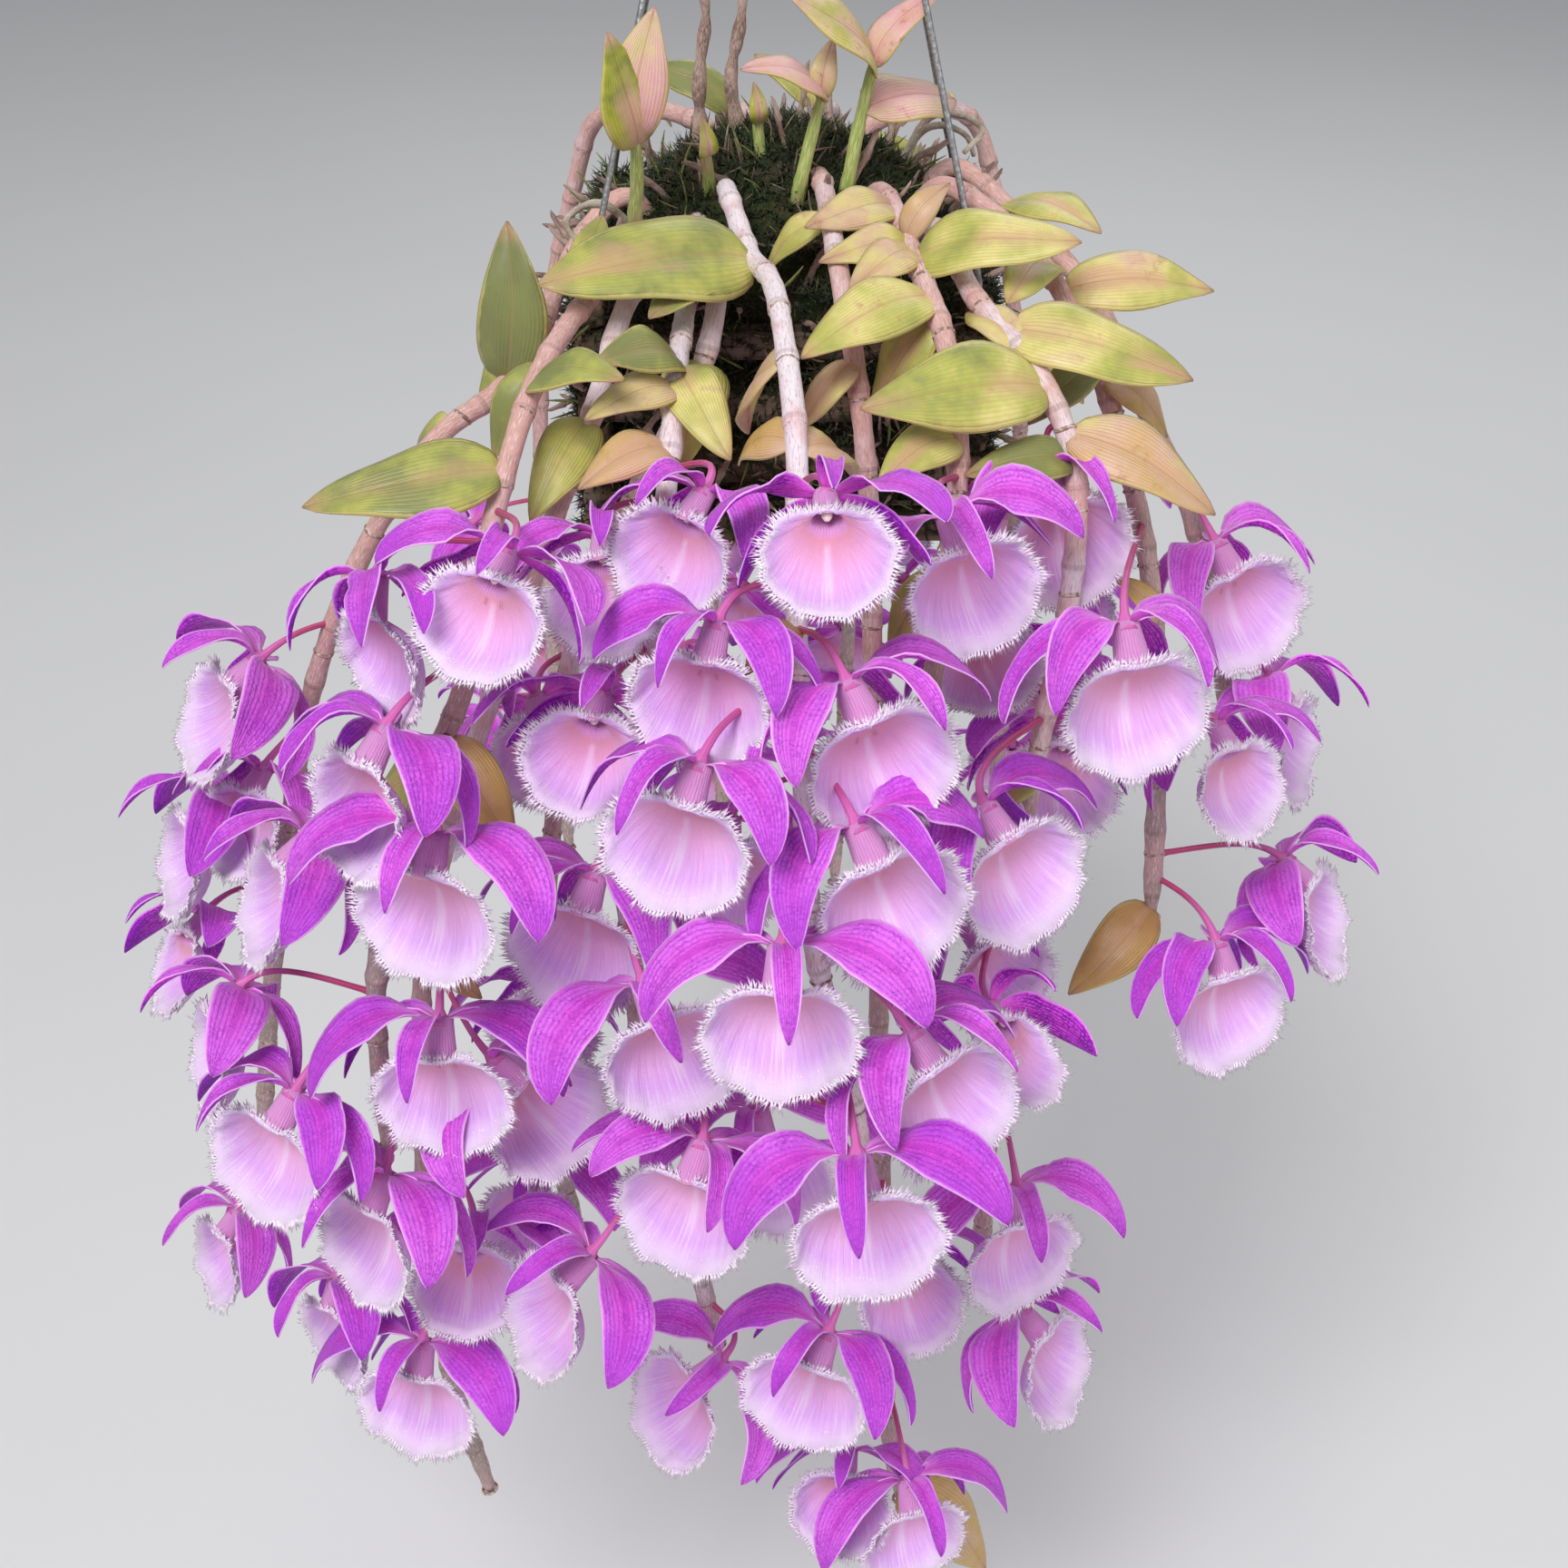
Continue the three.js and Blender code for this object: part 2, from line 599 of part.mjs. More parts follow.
// A back cane's flowers stand at every node from its first one down, turned by their height.
function backFlowers(way) {
  const flowers = [];
  for (let height = way.first; height > way.foot; height -= backRule.spacing) {
    const level = Math.round((backRule.bellyHeight - height) / backRule.spacing);
    const outward = backWay(way, height, backRule.turns[level % backRule.turns.length]);
    const origin = backWay(way, height).multiplyScalar(way.reach);
    origin.addScaledVector(outward, backRule.stalk).setZ(height);
    const axis = outward.clone().multiplyScalar(openSide.up).addScaledVector(sky, -openSide.out);
    const dorsal = outward.clone().multiplyScalar(openSide.out).addScaledVector(sky, openSide.up);
    flowers.push({ origin, axis, dorsal, size: 1 });
  }
  return flowers;
}

function backLeaves(curve, leaves) {
  const nodes = curve.getSpacedPoints(cane.steps);
  return leaves.map(([step, aside, rise]) => {
    const base = nodes[step];
    const outward = base.clone().setZ(0).normalize();
    const tip = base.clone().addScaledVector(outward, backRule.leafOut).addScaledVector(sky, rise);
    return leafSolid(base, tip.addScaledVector(outward.cross(sky), aside));
  });
}

// The basket: square rails laid crosswise in tiers, drilled where they cross, over a slatted floor.
const tierPitch = basket.rail + gap;
const corner = (basket.width - basket.rail) / 2;
const tierHeight = (tier) => basket.top - basket.rail / 2 - (basket.tiers - 1 - tier) * tierPitch;
const floorHeight = tierHeight(0) - basket.rail / 2;

function placed(geometry, x, y, z) {
  return solid(geometry.translate(x, y, z));
}

function boreSolid(x, y, z) {
  const bore = new THREE.CylinderGeometry(wire.hole, wire.hole, basket.rail * 2, wire.holeSides);
  return placed(bore.rotateX(Math.PI / 2), x, y, z);
}

function railSolid(tier, side) {
  const alongX = tier % 2 === 0;
  const [width, depth] = alongX ? [basket.width, basket.rail] : [basket.rail, basket.width];
  const [x, y] = alongX ? [0, side * corner] : [side * corner, 0];
  const z = tierHeight(tier);
  const rail = placed(new THREE.BoxGeometry(width, depth, basket.rail), x, y, z);
  const ends = [-corner, corner].map((end) => (alongX ? boreSolid(end, y, z) : boreSolid(x, end, z)));
  return ends.reduce((body, bore) => body.subtract(bore), rail);
}

function addBasket(group) {
  for (let tier = 0; tier < basket.tiers; tier += 1) {
    for (const [side, label] of [[-1, 'a'], [1, 'b']]) {
      group.add(node(`basket_rail_${tier + 1}${label}`, railSolid(tier, side), finish(colours.wood, 0.85)));
    }
  }
  const room = 2 * corner;
  for (let slat = 1; slat <= basket.floorSlats; slat += 1) {
    const y = -corner + (room * slat) / (basket.floorSlats + 1);
    const board = placed(new THREE.BoxGeometry(basket.width, basket.rail, basket.rail), 0, y, tierHeight(0));
    group.add(node(`basket_floor_slat_${slat}`, board, finish(colours.wood, 0.85)));
  }
}

// The hanger: a wire up through each corner, the four gathered in a collar under an open hook.
const hookCentre = hangerHeight - (hook.bend - hook.radius);
const collarTop = hookCentre - hook.bend - hook.shank;
const collarFoot = collarTop - hook.collarHeight;

function hookPoint(degrees) {
  const angle = THREE.MathUtils.degToRad(degrees);
  return new THREE.Vector3(hook.bend * Math.cos(angle), 0, hookCentre + hook.bend * Math.sin(angle));
}

function hangerSolid() {
  const pieces = [];
  const shoulder = basket.top + 3;
  for (const x of [-corner, corner]) {
    for (const y of [-corner, corner]) {
      const foot = new THREE.Vector3(x, y, floorHeight - gap - wire.beadHeight / 2);
      const bend = new THREE.Vector3(x, y, shoulder);
      const head = new THREE.Vector3(x * 0.02, y * 0.02, collarFoot + 4);
      pieces.push(tube(new THREE.LineCurve3(foot, bend), wire.radius, wire.sides, 1));
      pieces.push(tube(new THREE.LineCurve3(bend, head), wire.radius, wire.sides, 1));
      const bead = new THREE.CylinderGeometry(wire.bead, wire.bead, wire.beadHeight, hook.sides);
      pieces.push(placed(bead.rotateX(Math.PI / 2), x, y, floorHeight - gap - wire.beadHeight / 2));
    }
  }
  const collar = new THREE.CylinderGeometry(hook.collar, hook.collar, hook.collarHeight, hook.sides);
  pieces.push(placed(collar.rotateX(Math.PI / 2), 0, 0, (collarTop + collarFoot) / 2));
  const points = [
    new THREE.Vector3(0, 0, collarTop - 4),
    new THREE.Vector3(0, 0, collarTop + 5),
    ...[-40, -10, 25, 60, 95, 130, 165, 200, 225].map(hookPoint),
  ];
  const path = new THREE.CatmullRomCurve3(points, false, 'centripetal');
  pieces.push(tube(path, hook.radius, hook.sides, hook.steps));
  return joined(pieces);
}

// The moss: a domed block that fills the basket above its floor.
function mossSolid(extra) {
  const width = basket.width - 2 * (basket.rail + moss.clearance - extra);
  const low = tierHeight(0) + basket.rail / 2 + gap;
  const { segments, layers } = moss;
  const block = new THREE.BoxGeometry(width, width, 1, segments, segments, layers);
  const position = block.getAttribute('position');
  for (let i = 0; i < position.count; i += 1) {
    const share = position.getZ(i) + 0.5;
    const away = Math.hypot(position.getX(i), position.getY(i)) / moss.fallRadius;
    const high = moss.crown - moss.fall * away * away + extra;
    position.setZ(i, low + (high - low) * share);
  }
  return solid(block);
}

// What grows from the moss ends just above it.
const mossRoom = mossSolid(gap);

const plant = new THREE.Group();
plant.position.z = -hangerHeight;

function addStem(name, curve, radius, steps, leaves, flowers, material) {
  const blooms = flowers.flatMap((flower) => [stalkSolid(curve, flower), flowerSolid(flower)]);
  const stem = tube(curve, radius, cane.sides, steps).subtract(mossRoom);
  plant.add(node(name, joined([stem, ...leaves, ...blooms]), material));
}

const caneFinish = () => finish(colours.flowering, 0.6);
for (const { name, track, leaves, flowers } of frontCanes) {
  const curve = trackCurve(track);
  const blooms = flowers.map(seenFlower);
  addStem(name, curve, cane.radius, cane.steps, leavesOn(curve, leaves), blooms, caneFinish());
}
for (const { name, way, leaves } of backCanes) {
  const curve = backCurve(way);
  addStem(name, curve, cane.radius, cane.steps, backLeaves(curve, leaves), backFlowers(way), caneFinish());
}
for (const { name, track, leaves } of shoots) {
  const curve = trackCurve(track);
  addStem(name, curve, shoot.radius, shoot.steps, leavesOn(curve, leaves), [], finish(colours.shoot, 0.6));
}
for (const { name, track } of oldStems) {
  addStem(name, trackCurve(track), shoot.radius, shoot.steps, [], [], finish(colours.oldStem, 0.8));
}
for (const { name, track } of roots) {
  addStem(name, trackCurve(track), root.radius, root.steps, [], [], finish(colours.root, 0.8));
}

addBasket(plant);
plant.add(node('moss', mossSolid(0), finish(colours.moss, 0.95)));
plant.add(node('hanger', hangerSolid(), finish(colours.wire, 0.4, 0.8)));

export default plant;
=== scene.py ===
"""A pendulous dendrobium in flower in a mossy slatted basket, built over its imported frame.

Lengths are metres. The origin is the inside of the hook's crown, +Z is up and -Y is the side
that the photograph shows. A place on the plant is a column and a row of the view that it was
measured in, with a depth in millimetres behind the basket's centre line.
"""

from __future__ import annotations

import logging
import math
import random
from collections.abc import Iterable, Sequence
from dataclasses import dataclass, field, replace
from enum import Enum
from typing import Any

import bpy
from bpy.types import ID, Material, Node, NodeSocket, NodeTree, Object
from mathutils import Matrix, Vector, noise

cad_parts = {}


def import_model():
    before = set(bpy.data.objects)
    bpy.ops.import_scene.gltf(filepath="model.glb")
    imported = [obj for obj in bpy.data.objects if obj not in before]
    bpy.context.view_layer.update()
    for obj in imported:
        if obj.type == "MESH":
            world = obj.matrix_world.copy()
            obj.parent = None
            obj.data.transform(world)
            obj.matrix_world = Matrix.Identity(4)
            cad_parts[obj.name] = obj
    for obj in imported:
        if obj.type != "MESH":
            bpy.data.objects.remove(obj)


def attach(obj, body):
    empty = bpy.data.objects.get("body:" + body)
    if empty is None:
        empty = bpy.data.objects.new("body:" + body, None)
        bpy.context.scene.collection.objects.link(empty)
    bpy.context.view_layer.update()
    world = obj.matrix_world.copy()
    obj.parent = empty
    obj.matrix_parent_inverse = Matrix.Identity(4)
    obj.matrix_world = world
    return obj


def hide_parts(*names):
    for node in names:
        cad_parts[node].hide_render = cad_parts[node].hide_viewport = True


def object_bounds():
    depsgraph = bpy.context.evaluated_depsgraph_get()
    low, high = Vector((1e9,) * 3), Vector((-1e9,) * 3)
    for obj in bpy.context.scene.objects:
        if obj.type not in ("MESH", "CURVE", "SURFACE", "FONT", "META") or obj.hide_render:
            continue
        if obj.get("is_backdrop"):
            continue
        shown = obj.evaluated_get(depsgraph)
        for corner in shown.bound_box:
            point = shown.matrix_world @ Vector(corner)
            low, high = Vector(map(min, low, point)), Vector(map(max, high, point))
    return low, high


log = logging.getLogger("dendrobium")

MM = 0.001
MOSS_LEVEL = -0.250
BURIED_SHARE = 0.72
BURIED_DEPTH = 0.016
LIP_REACH = 0.018
SMALLEST, LARGEST = 0.94, 1.12
RIGHT = Vector((1.0, 0.0, 0.0))
SKY = Vector((0.0, 0.0, 1.0))
Place = tuple[float, float, float]
Spot = tuple[float, float]
Row = tuple[float, ...]
Line = Sequence[Vector]


def evenly(count: int) -> list[float]:
    """The shares from 0 to 1 in even steps."""
    return [i / count for i in range(count + 1)]


def link(name: str, data: ID) -> Object:
    """Puts a mesh, a lamp or a camera in the scene.

    Args:
        name: the object's name.
        data: what the object shows.

    Returns:
        The object, at the origin.
    """
    thing = bpy.data.objects.new(name, data)
    bpy.context.scene.collection.objects.link(thing)
    return thing


def thread(name: str, points: Iterable[Vector], edges: Sequence[tuple[int, int]]) -> Object:
    """Makes an object of bare edges, for a recipe to work along.

    Args:
        name: the object's name.
        points: its corners.
        edges: the pairs of corners that are joined.

    Returns:
        The object.
    """
    mesh = bpy.data.meshes.new(name)
    mesh.from_pydata([tuple(p) for p in points], edges, [])
    return link(name, mesh)


# --- the view


@dataclass(frozen=True)
class View:
    """The pinhole that the plant was measured in, before and above the basket, looking down."""

    eye: Place = (0.0, -0.593, -0.069)
    pitch: float = math.radians(32.6)
    focal: float = 2374.0
    side: float = 1728.0
    sensor: float = 36.0

    @property
    def forward(self) -> Vector:
        """The direction that the view looks in."""
        return Vector((0.0, math.cos(self.pitch), -math.sin(self.pitch)))

    @property
    def upward(self) -> Vector:
        """The direction of the view's columns, upwards."""
        return Vector((0.0, math.sin(self.pitch), math.cos(self.pitch)))

    def seen(self, u: float, v: float, depth: float) -> Vector:
        """The place that is seen at a column and row.

        Args:
            u: the column.
            v: the row.
            depth: how far behind the basket's centre line the place lies, in millimetres.

        Returns:
            The place in the part's frame.
        """
        middle = self.side / 2
        across, up = (u - middle) / self.focal, (middle - v) / self.focal
        ray = self.forward + RIGHT * across + self.upward * up
        eye = Vector(self.eye)
        return eye + ray * ((depth * MM - eye.y) / ray.y)

    def spot(self, place: Vector) -> Spot:
        """The column and row where a place is seen.

        Args:
            place: the place.

        Returns:
            The column and the row.
        """
        away = place - Vector(self.eye)
        scale = self.focal / away.dot(self.forward)
        middle = self.side / 2
        return away.dot(RIGHT) * scale + middle, middle - away.dot(self.upward) * scale

    def pitch_of(self, place: Vector) -> float:
        """The width of one column at a place."""
        return (place - Vector(self.eye)).dot(self.forward) / self.focal

    def add_camera(self) -> None:
        """Puts the scene's camera at the view."""
        data = bpy.data.cameras.new("view")
        data.sensor_width = self.sensor
        data.lens = self.focal / self.side * self.sensor
        data.clip_start = 0.01
        camera = link("view", data)
        camera.location = self.eye
        camera.rotation_euler = (math.pi / 2 - self.pitch, 0.0, 0.0)
        bpy.context.scene.camera = camera


VIEW = View()


# --- node trees


class Value:
    """A number in a node tree. An expression on it adds its Math nodes."""

    def __init__(self, tree: Tree, socket: NodeSocket) -> None:
        """Wraps an output socket of a tree."""
        self.tree = tree
        self.socket = socket

    def maths(self, operation: str, *others: Any, first: Any = None) -> Value:
        """Adds one Math node.

        Args:
            operation: the node's operation.
            others: what follows this number in it.
            first: what comes before this number in it, if anything.

        Returns:
            The node's result.
        """
        terms = [self, *others] if first is None else [first, self, *others]
        node = self.tree.node("ShaderNodeMath", {"operation": operation}, dict(enumerate(terms)))
        return Value(self.tree, node.outputs[0])

    def __add__(self, other: Any) -> Value:
        """The sum."""
        return self.maths("ADD", other)

    __radd__ = __add__

    def __sub__(self, other: Any) -> Value:
        """The difference."""
        return self.maths("SUBTRACT", other)

    def __rsub__(self, other: Any) -> Value:
        """The difference, with the other first."""
        return self.maths("SUBTRACT", first=other)

    def __mul__(self, other: Any) -> Value:
        """The product."""
        return self.maths("MULTIPLY", other)

    __rmul__ = __mul__

    def __abs__(self) -> Value:
        """The size without the sign."""
        return self.maths("ABSOLUTE")

    def sine(self) -> Value:
        """The sine."""
        return self.maths("SINE")

    def fold(self, width: float) -> Value:
        """A zigzag between 0 and a width."""
        return self.maths("PINGPONG", width)

    def rise(self, low: float, high: float) -> Value:
        """A smooth step from 0 at low to 1 at high."""
        inputs = {"Value": self, "From Min": low, "From Max": high}
        node = self.tree.node("ShaderNodeMapRange", {"interpolation_type": "SMOOTHSTEP"}, inputs)
        return Value(self.tree, node.outputs["Result"])

    def fall(self, low: float, high: float) -> Value:
        """A smooth step from 1 at low to 0 at high."""
        return 1.0 - self.rise(low, high)

    def ramp(self, *stops: tuple[float, Sequence[float]]) -> NodeSocket:
        """A colour for each height of the number, from stops of a place and a colour.

        Args:
            stops: a place and a colour for each stop.

        Returns:
            The colour.
        """
        node = self.tree.node("ShaderNodeValToRGB", {}, {0: self})
        elements = node.color_ramp.elements
        while len(elements) < len(stops):
            elements.new(1.0)
        for element, (place, colour) in zip(elements, stops):
            element.position = place
            element.color = (*colour, 1.0)
        return node.outputs["Color"]


class Tree:
    """A node tree that grows by one method, for shading and for geometry alike."""

    def __init__(self, nodes: NodeTree) -> None:
        """Takes an empty node tree."""
        self.nodes = nodes

    def put(self, socket: NodeSocket, value: Any) -> None:
        """Links or sets one input.

        Args:
            socket: the input.
            value: a value, a number of the tree or a link.
        """
        if isinstance(value, Value):
            value = value.socket
        if isinstance(value, NodeSocket):
            self.nodes.links.new(value, socket)
        else:
            socket.default_value = value

    def node(self, kind: str, settings: dict[str, Any], inputs: dict[Any, Any]) -> Node:
        """Adds a node.

        Args:
            kind: the node's type.
            settings: its properties, which are set first.
            inputs: the value or the link of each socket, by its name or number.

        Returns:
            The node.
        """
        node = self.nodes.nodes.new(kind)
        for name, setting in settings.items():
            setattr(node, name, setting)
        for key, value in inputs.items():
            self.put(node.inputs[key], value)
        return node

    def out(
        self, kind: str, settings: dict[str, Any], inputs: dict[Any, Any], output: Any = 0,
    ) -> Any:
        """Adds a node and gives one of its outputs."""
        return self.node(kind, settings, inputs).outputs[output]


class Shader(Tree):
    """The node tree of one material, round a Principled BSDF."""

    def __init__(self, name: str, **sockets: Any) -> None:
        """Makes the material.

        Args:
            name: the material's name.
            sockets: what is the same all over the surface, by socket, with _ for a space.
        """
        self.material = bpy.data.materials.new(name)
        self.material.use_nodes = True
        super().__init__(self.material.node_tree)
        self.surface = self.nodes.nodes["Principled BSDF"]
        for key, value in sockets.items():
            self.surface.inputs[key.replace("_", " ")].default_value = value

    def uv(self) -> tuple[Value, Value]:
        """The piece's own U and V."""
        place = self.out("ShaderNodeUVMap", {"uv_map": "UVMap"}, {})
        parts = self.node("ShaderNodeSeparateXYZ", {}, {0: place})
        return Value(self, parts.outputs[0]), Value(self, parts.outputs[1])

    def place(self, scale: Place = (1.0, 1.0, 1.0)) -> NodeSocket:
        """The object's coordinates, stretched."""
        spot = self.out("ShaderNodeTexCoord", {}, {}, "Object")
        return self.out("ShaderNodeMapping", {}, {"Vector": spot, "Scale": scale})

    def weave(self, *parts: Any) -> NodeSocket:
        """A vector from up to three numbers."""
        return self.out("ShaderNodeCombineXYZ", {}, dict(enumerate(parts)))

    def rolled(self, u: Value, v: Value, stretch: float, girth: float = 1.0) -> NodeSocket:
        """U and V as a place on a rolled-up skin, so that a pattern closes round a stem."""
        turns = (u * math.tau, (u + 0.25) * math.tau)
        return self.weave(*(turn.sine() * girth for turn in turns), v * stretch)

    def attribute(self, name: str) -> Value:
        """A number that the mesh carries."""
        return Value(self, self.out("ShaderNodeAttribute", {"attribute_name": name}, {}, "Fac"))

    def noise(self, place: Any, scale: float, detail: float = 3.0, rough: float = 0.5) -> Value:
        """A cloudy noise between 0 and 1."""
        inputs = {"Vector": place, "Scale": scale, "Detail": detail, "Roughness": rough}
        return Value(self, self.out("ShaderNodeTexNoise", {}, inputs, 0))

    def cloud(self, scale: float, detail: float = 3.0, rough: float = 0.5) -> Value:
        """A cloudy noise on the object's coordinates."""
        return self.noise(self.place(), scale, detail, rough)

    def cells(self, scale: float, feature: str = "DISTANCE_TO_EDGE") -> Value:
        """A pattern of cells on the object's coordinates.

        Args:
            scale: how many cells there are to a metre.
            feature: what is measured, the distance to the nearest wall or to the nearest middle.

        Returns:
            The distance.
        """
        inputs = {"Vector": self.place(), "Scale": scale}
        return Value(
            self, self.out("ShaderNodeTexVoronoi", {"feature": feature}, inputs, "Distance"),
        )

    def mix(self, share: Any, first: Any, second: Any, blend: str = "MIX") -> NodeSocket:
        """Two colours mixed by a share."""
        first, second = (c if isinstance(c, NodeSocket) else (*c, 1.0) for c in (first, second))
        settings = {"data_type": "RGBA", "blend_type": blend, "clamp_factor": True}
        return self.out("ShaderNodeMix", settings, {0: share, 6: first, 7: second}, 2)

    def finish(self, colour: Any, rough: Any, height: Any = None, depth: float = 0.001) -> Material:
        """Joins what changes over the surface to the shader.

        Args:
            colour: the base colour.
            rough: the roughness.
            height: the height of the surface's relief, from 0 to 1, if it has one.
            depth: the depth of the relief.

        Returns:
            The material.
        """
        self.put(self.surface.inputs["Base Color"], colour)
        self.put(self.surface.inputs["Roughness"], rough)
        if height is not None:
            inputs = {"Height": height, "Distance": depth, "Strength": 1.0}
            self.put(self.surface.inputs["Normal"], self.out("ShaderNodeBump", {}, inputs))
        return self.material


# --- finishes


@dataclass(frozen=True)
class TepalFinish:
    """Thin tepal skin: bright orchid pink with darker veins, fine cells and a pale margin."""

    name: str = "tepal_outside"
    rose: Place = (0.88, 0.072, 0.92)
    violet: Place = (0.40, 0.018, 0.66)
    vein: Place = (0.20, 0.004, 0.34)
    pale: Place = (0.90, 0.42, 0.95)
    base: Place = (0.88, 0.20, 0.76)
    veining: float = 0.85
    blush: Place = (0.84, 0.060, 0.66)

    def material(self) -> Material:
        """Makes the finish.

        Returns:
            Its material.
        """
        s = Shader(
            self.name, Specular_IOR_Level=0.3, Sheen_Weight=0.04, Subsurface_Weight=0.12,
            Subsurface_Radius=(1.0, 0.35, 0.9), Subsurface_Scale=0.0012,
        )
        u, v = s.uv()
        aside = abs(u - 0.5) * 2.0
        wander = s.cloud(420.0, 3.0) - 0.5
        lines = ((u * 11.0 + wander * 0.5).fold(0.5) * 2.0).fall(0.08, 0.6)
        middle = aside.fall(0.02, 0.09)
        net = s.cells(760.0).fall(0.02, 0.22)
        patch = s.cloud(300.0, 3.0).rise(0.38, 0.62)
        fade = v.rise(0.03, 0.3) * aside.fall(0.82, 0.98)
        veins = (lines * 0.9 + net * (0.35 + patch * 0.65)) * fade
        cloud = s.cloud(60.0, 3.0) + (s.cloud(1500.0, 2.0) - 0.5) * 0.7
        ripe = v.rise(0.35, 1.0) * 0.22 + s.attribute("tone") * 0.42 - 0.3
        colour = s.mix((cloud + ripe).rise(0.3, 0.72), self.rose, self.violet)
        colour = s.mix(v.fall(0.0, 0.3) * 0.8, colour, self.base)
        rib = (1.0 - (aside + wander * 0.3).rise(0.0, 0.6)) * v.fall(0.3, 0.95)
        colour = s.mix(rib * 0.7, colour, self.blush)
        colour = s.mix(veins * self.veining, colour, self.vein)
        colour = s.mix(middle * fade * 0.4, colour, self.vein)
        colour = s.mix((aside + wander * 0.08).rise(0.9, 1.0) * 0.75, colour, self.pale)
        sparkle = s.cells(2600.0, "F1").rise(0.1, 0.5)
        height = 0.55 - veins * 0.4 - middle * 0.4 + sparkle * 0.2
        return s.finish(colour, 0.36 + sparkle * 0.2, height, 0.00025)


@dataclass(frozen=True)
class LipFinish:
    """The lip: a ribbed pink tube, a salmon throat and a velvety pale lamina with a frosted rim."""

    name: str = "lip_velvet"
    tube: Place = (0.90, 0.40, 0.80)
    band: Place = (0.74, 0.16, 0.60)
    throat: Place = (0.88, 0.36, 0.50)
    lamina: Place = (0.90, 0.45, 0.78)
    lilac: Place = (0.80, 0.46, 0.96)
    frost: Place = (0.95, 0.77, 1.0)
    mark: Place = (0.22, 0.01, 0.12)

    def material(self) -> Material:
        """Makes the finish.

        Returns:
            Its material.
        """
        s = Shader(
            self.name, Specular_IOR_Level=0.2, Sheen_Weight=0.35, Subsurface_Weight=0.12,
            Subsurface_Radius=(1.0, 0.6, 0.8), Subsurface_Scale=0.0012,
        )
        u, v = s.uv()
        fan = s.rolled(u, v, 1.6, 14.0)
        streak = s.noise(fan, 2.4, 4.0, 0.6)
        cloud = s.cloud(160.0, 3.0)
        colour = (v + (cloud - 0.5) * 0.08).ramp(
            (0.0, self.tube), (0.34, self.tube), (0.42, self.throat), (0.64, self.lamina),
            (0.86, self.lilac), (1.0, self.frost),
        )
        bands = (u * 34.0 + cloud * 0.6).fold(0.5).rise(0.1, 0.45) * v.fall(0.3, 0.42)
        colour = s.mix(bands * 0.4, colour, self.band)
        keel = (abs(u - 0.75) * 30.0 + (streak - 0.5) * 0.6).fall(0.1, 0.8)
        keel = keel * v.rise(0.4, 0.5) * v.fall(0.75, 0.9)
        colour = s.mix(keel * 0.5, colour, self.frost)
        colour = s.mix(
            streak.fall(0.3, 0.5) * v.rise(0.42, 0.6) * v.fall(0.84, 0.97) * 0.3, colour, self.band,
        )
        colour = s.mix(streak.rise(0.48, 0.68) * v.rise(0.5, 0.9) * 0.6, colour, self.frost)
        comb = (u * 90.0 + streak * 0.6).fold(0.5).rise(0.25, 0.45)
        flank = (abs(abs(u - 0.75) - 0.055) * 45.0).fall(0.3, 0.9)
        marked = s.attribute("tone").rise(0.6, 0.7)
        marks = comb * flank * v.rise(0.4, 0.43) * v.fall(0.47, 0.5) * marked
        colour = s.mix(marks * 0.85, colour, self.mark)
        fuzz = s.cloud(3800.0, 2.0)
        height = streak * 0.7 + fuzz * 0.5 + keel * 0.6 + bands * 0.3
        return s.finish(colour, 0.55 + fuzz * 0.2, height, 0.0004)


@dataclass(frozen=True)
class FringeFinish:
    """The white teeth of the lip's rim."""

    name: str = "lip_fringe"
    tooth: Place = (0.98, 0.88, 0.99)
    blush: Place = (0.88, 0.55, 0.90)

    def material(self) -> Material:
        """Makes the finish.

        Returns:
            Its material.
        """
        s = Shader(self.name, Specular_IOR_Level=0.25, Sheen_Weight=0.3)
        cloud = s.cloud(500.0, 2.0)
        return s.finish(
            s.mix(cloud.rise(0.45, 0.7) * 0.6, self.tooth, self.blush), 0.55 + cloud * 0.2,
        )


@dataclass(frozen=True)
class StalkFinish:
    """Flower stalks and ovaries: crimson, with a purple blush and faint ribs."""

    name: str = "stalk_skin"
    crimson: Place = (0.50, 0.055, 0.17)
    pink: Place = (0.72, 0.16, 0.50)

    def material(self) -> Material:
        """Makes the finish.

        Returns:
            Its material.
        """
        s = Shader(self.name, Specular_IOR_Level=0.4)
        u, v = s.uv()
        cloud = s.cloud(260.0, 3.0)
        ribs = (u * 6.0).fold(0.5) * 2.0
        colour = s.mix((v + cloud * 0.5 - 0.25).rise(0.2, 0.95), self.crimson, self.pink)
        colour = s.mix(ribs.rise(0.6, 1.0) * 0.25, colour, (0.85, 0.40, 0.55))
        return s.finish(colour, 0.34 + cloud * 0.15, ribs * 0.6 + cloud * 0.4, 0.00015)


@dataclass(frozen=True)
class ColumnFinish:
    """The column in the throat, with its pale cap."""

    name: str = "column_cap"
    cap: Place = (0.92, 0.80, 0.70)
    foot: Place = (0.78, 0.30, 0.55)

    def material(self) -> Material:
        """Makes the finish.

        Returns:
            Its material.
        """
        s = Shader(self.name, Specular_IOR_Level=0.5)
        _, v = s.uv()
        cloud = s.cloud(900.0, 2.0)
        return s.finish(
            s.mix(v.rise(0.35, 0.65), self.foot, self.cap), 0.3 + cloud * 0.2, cloud, 0.0001,
        )


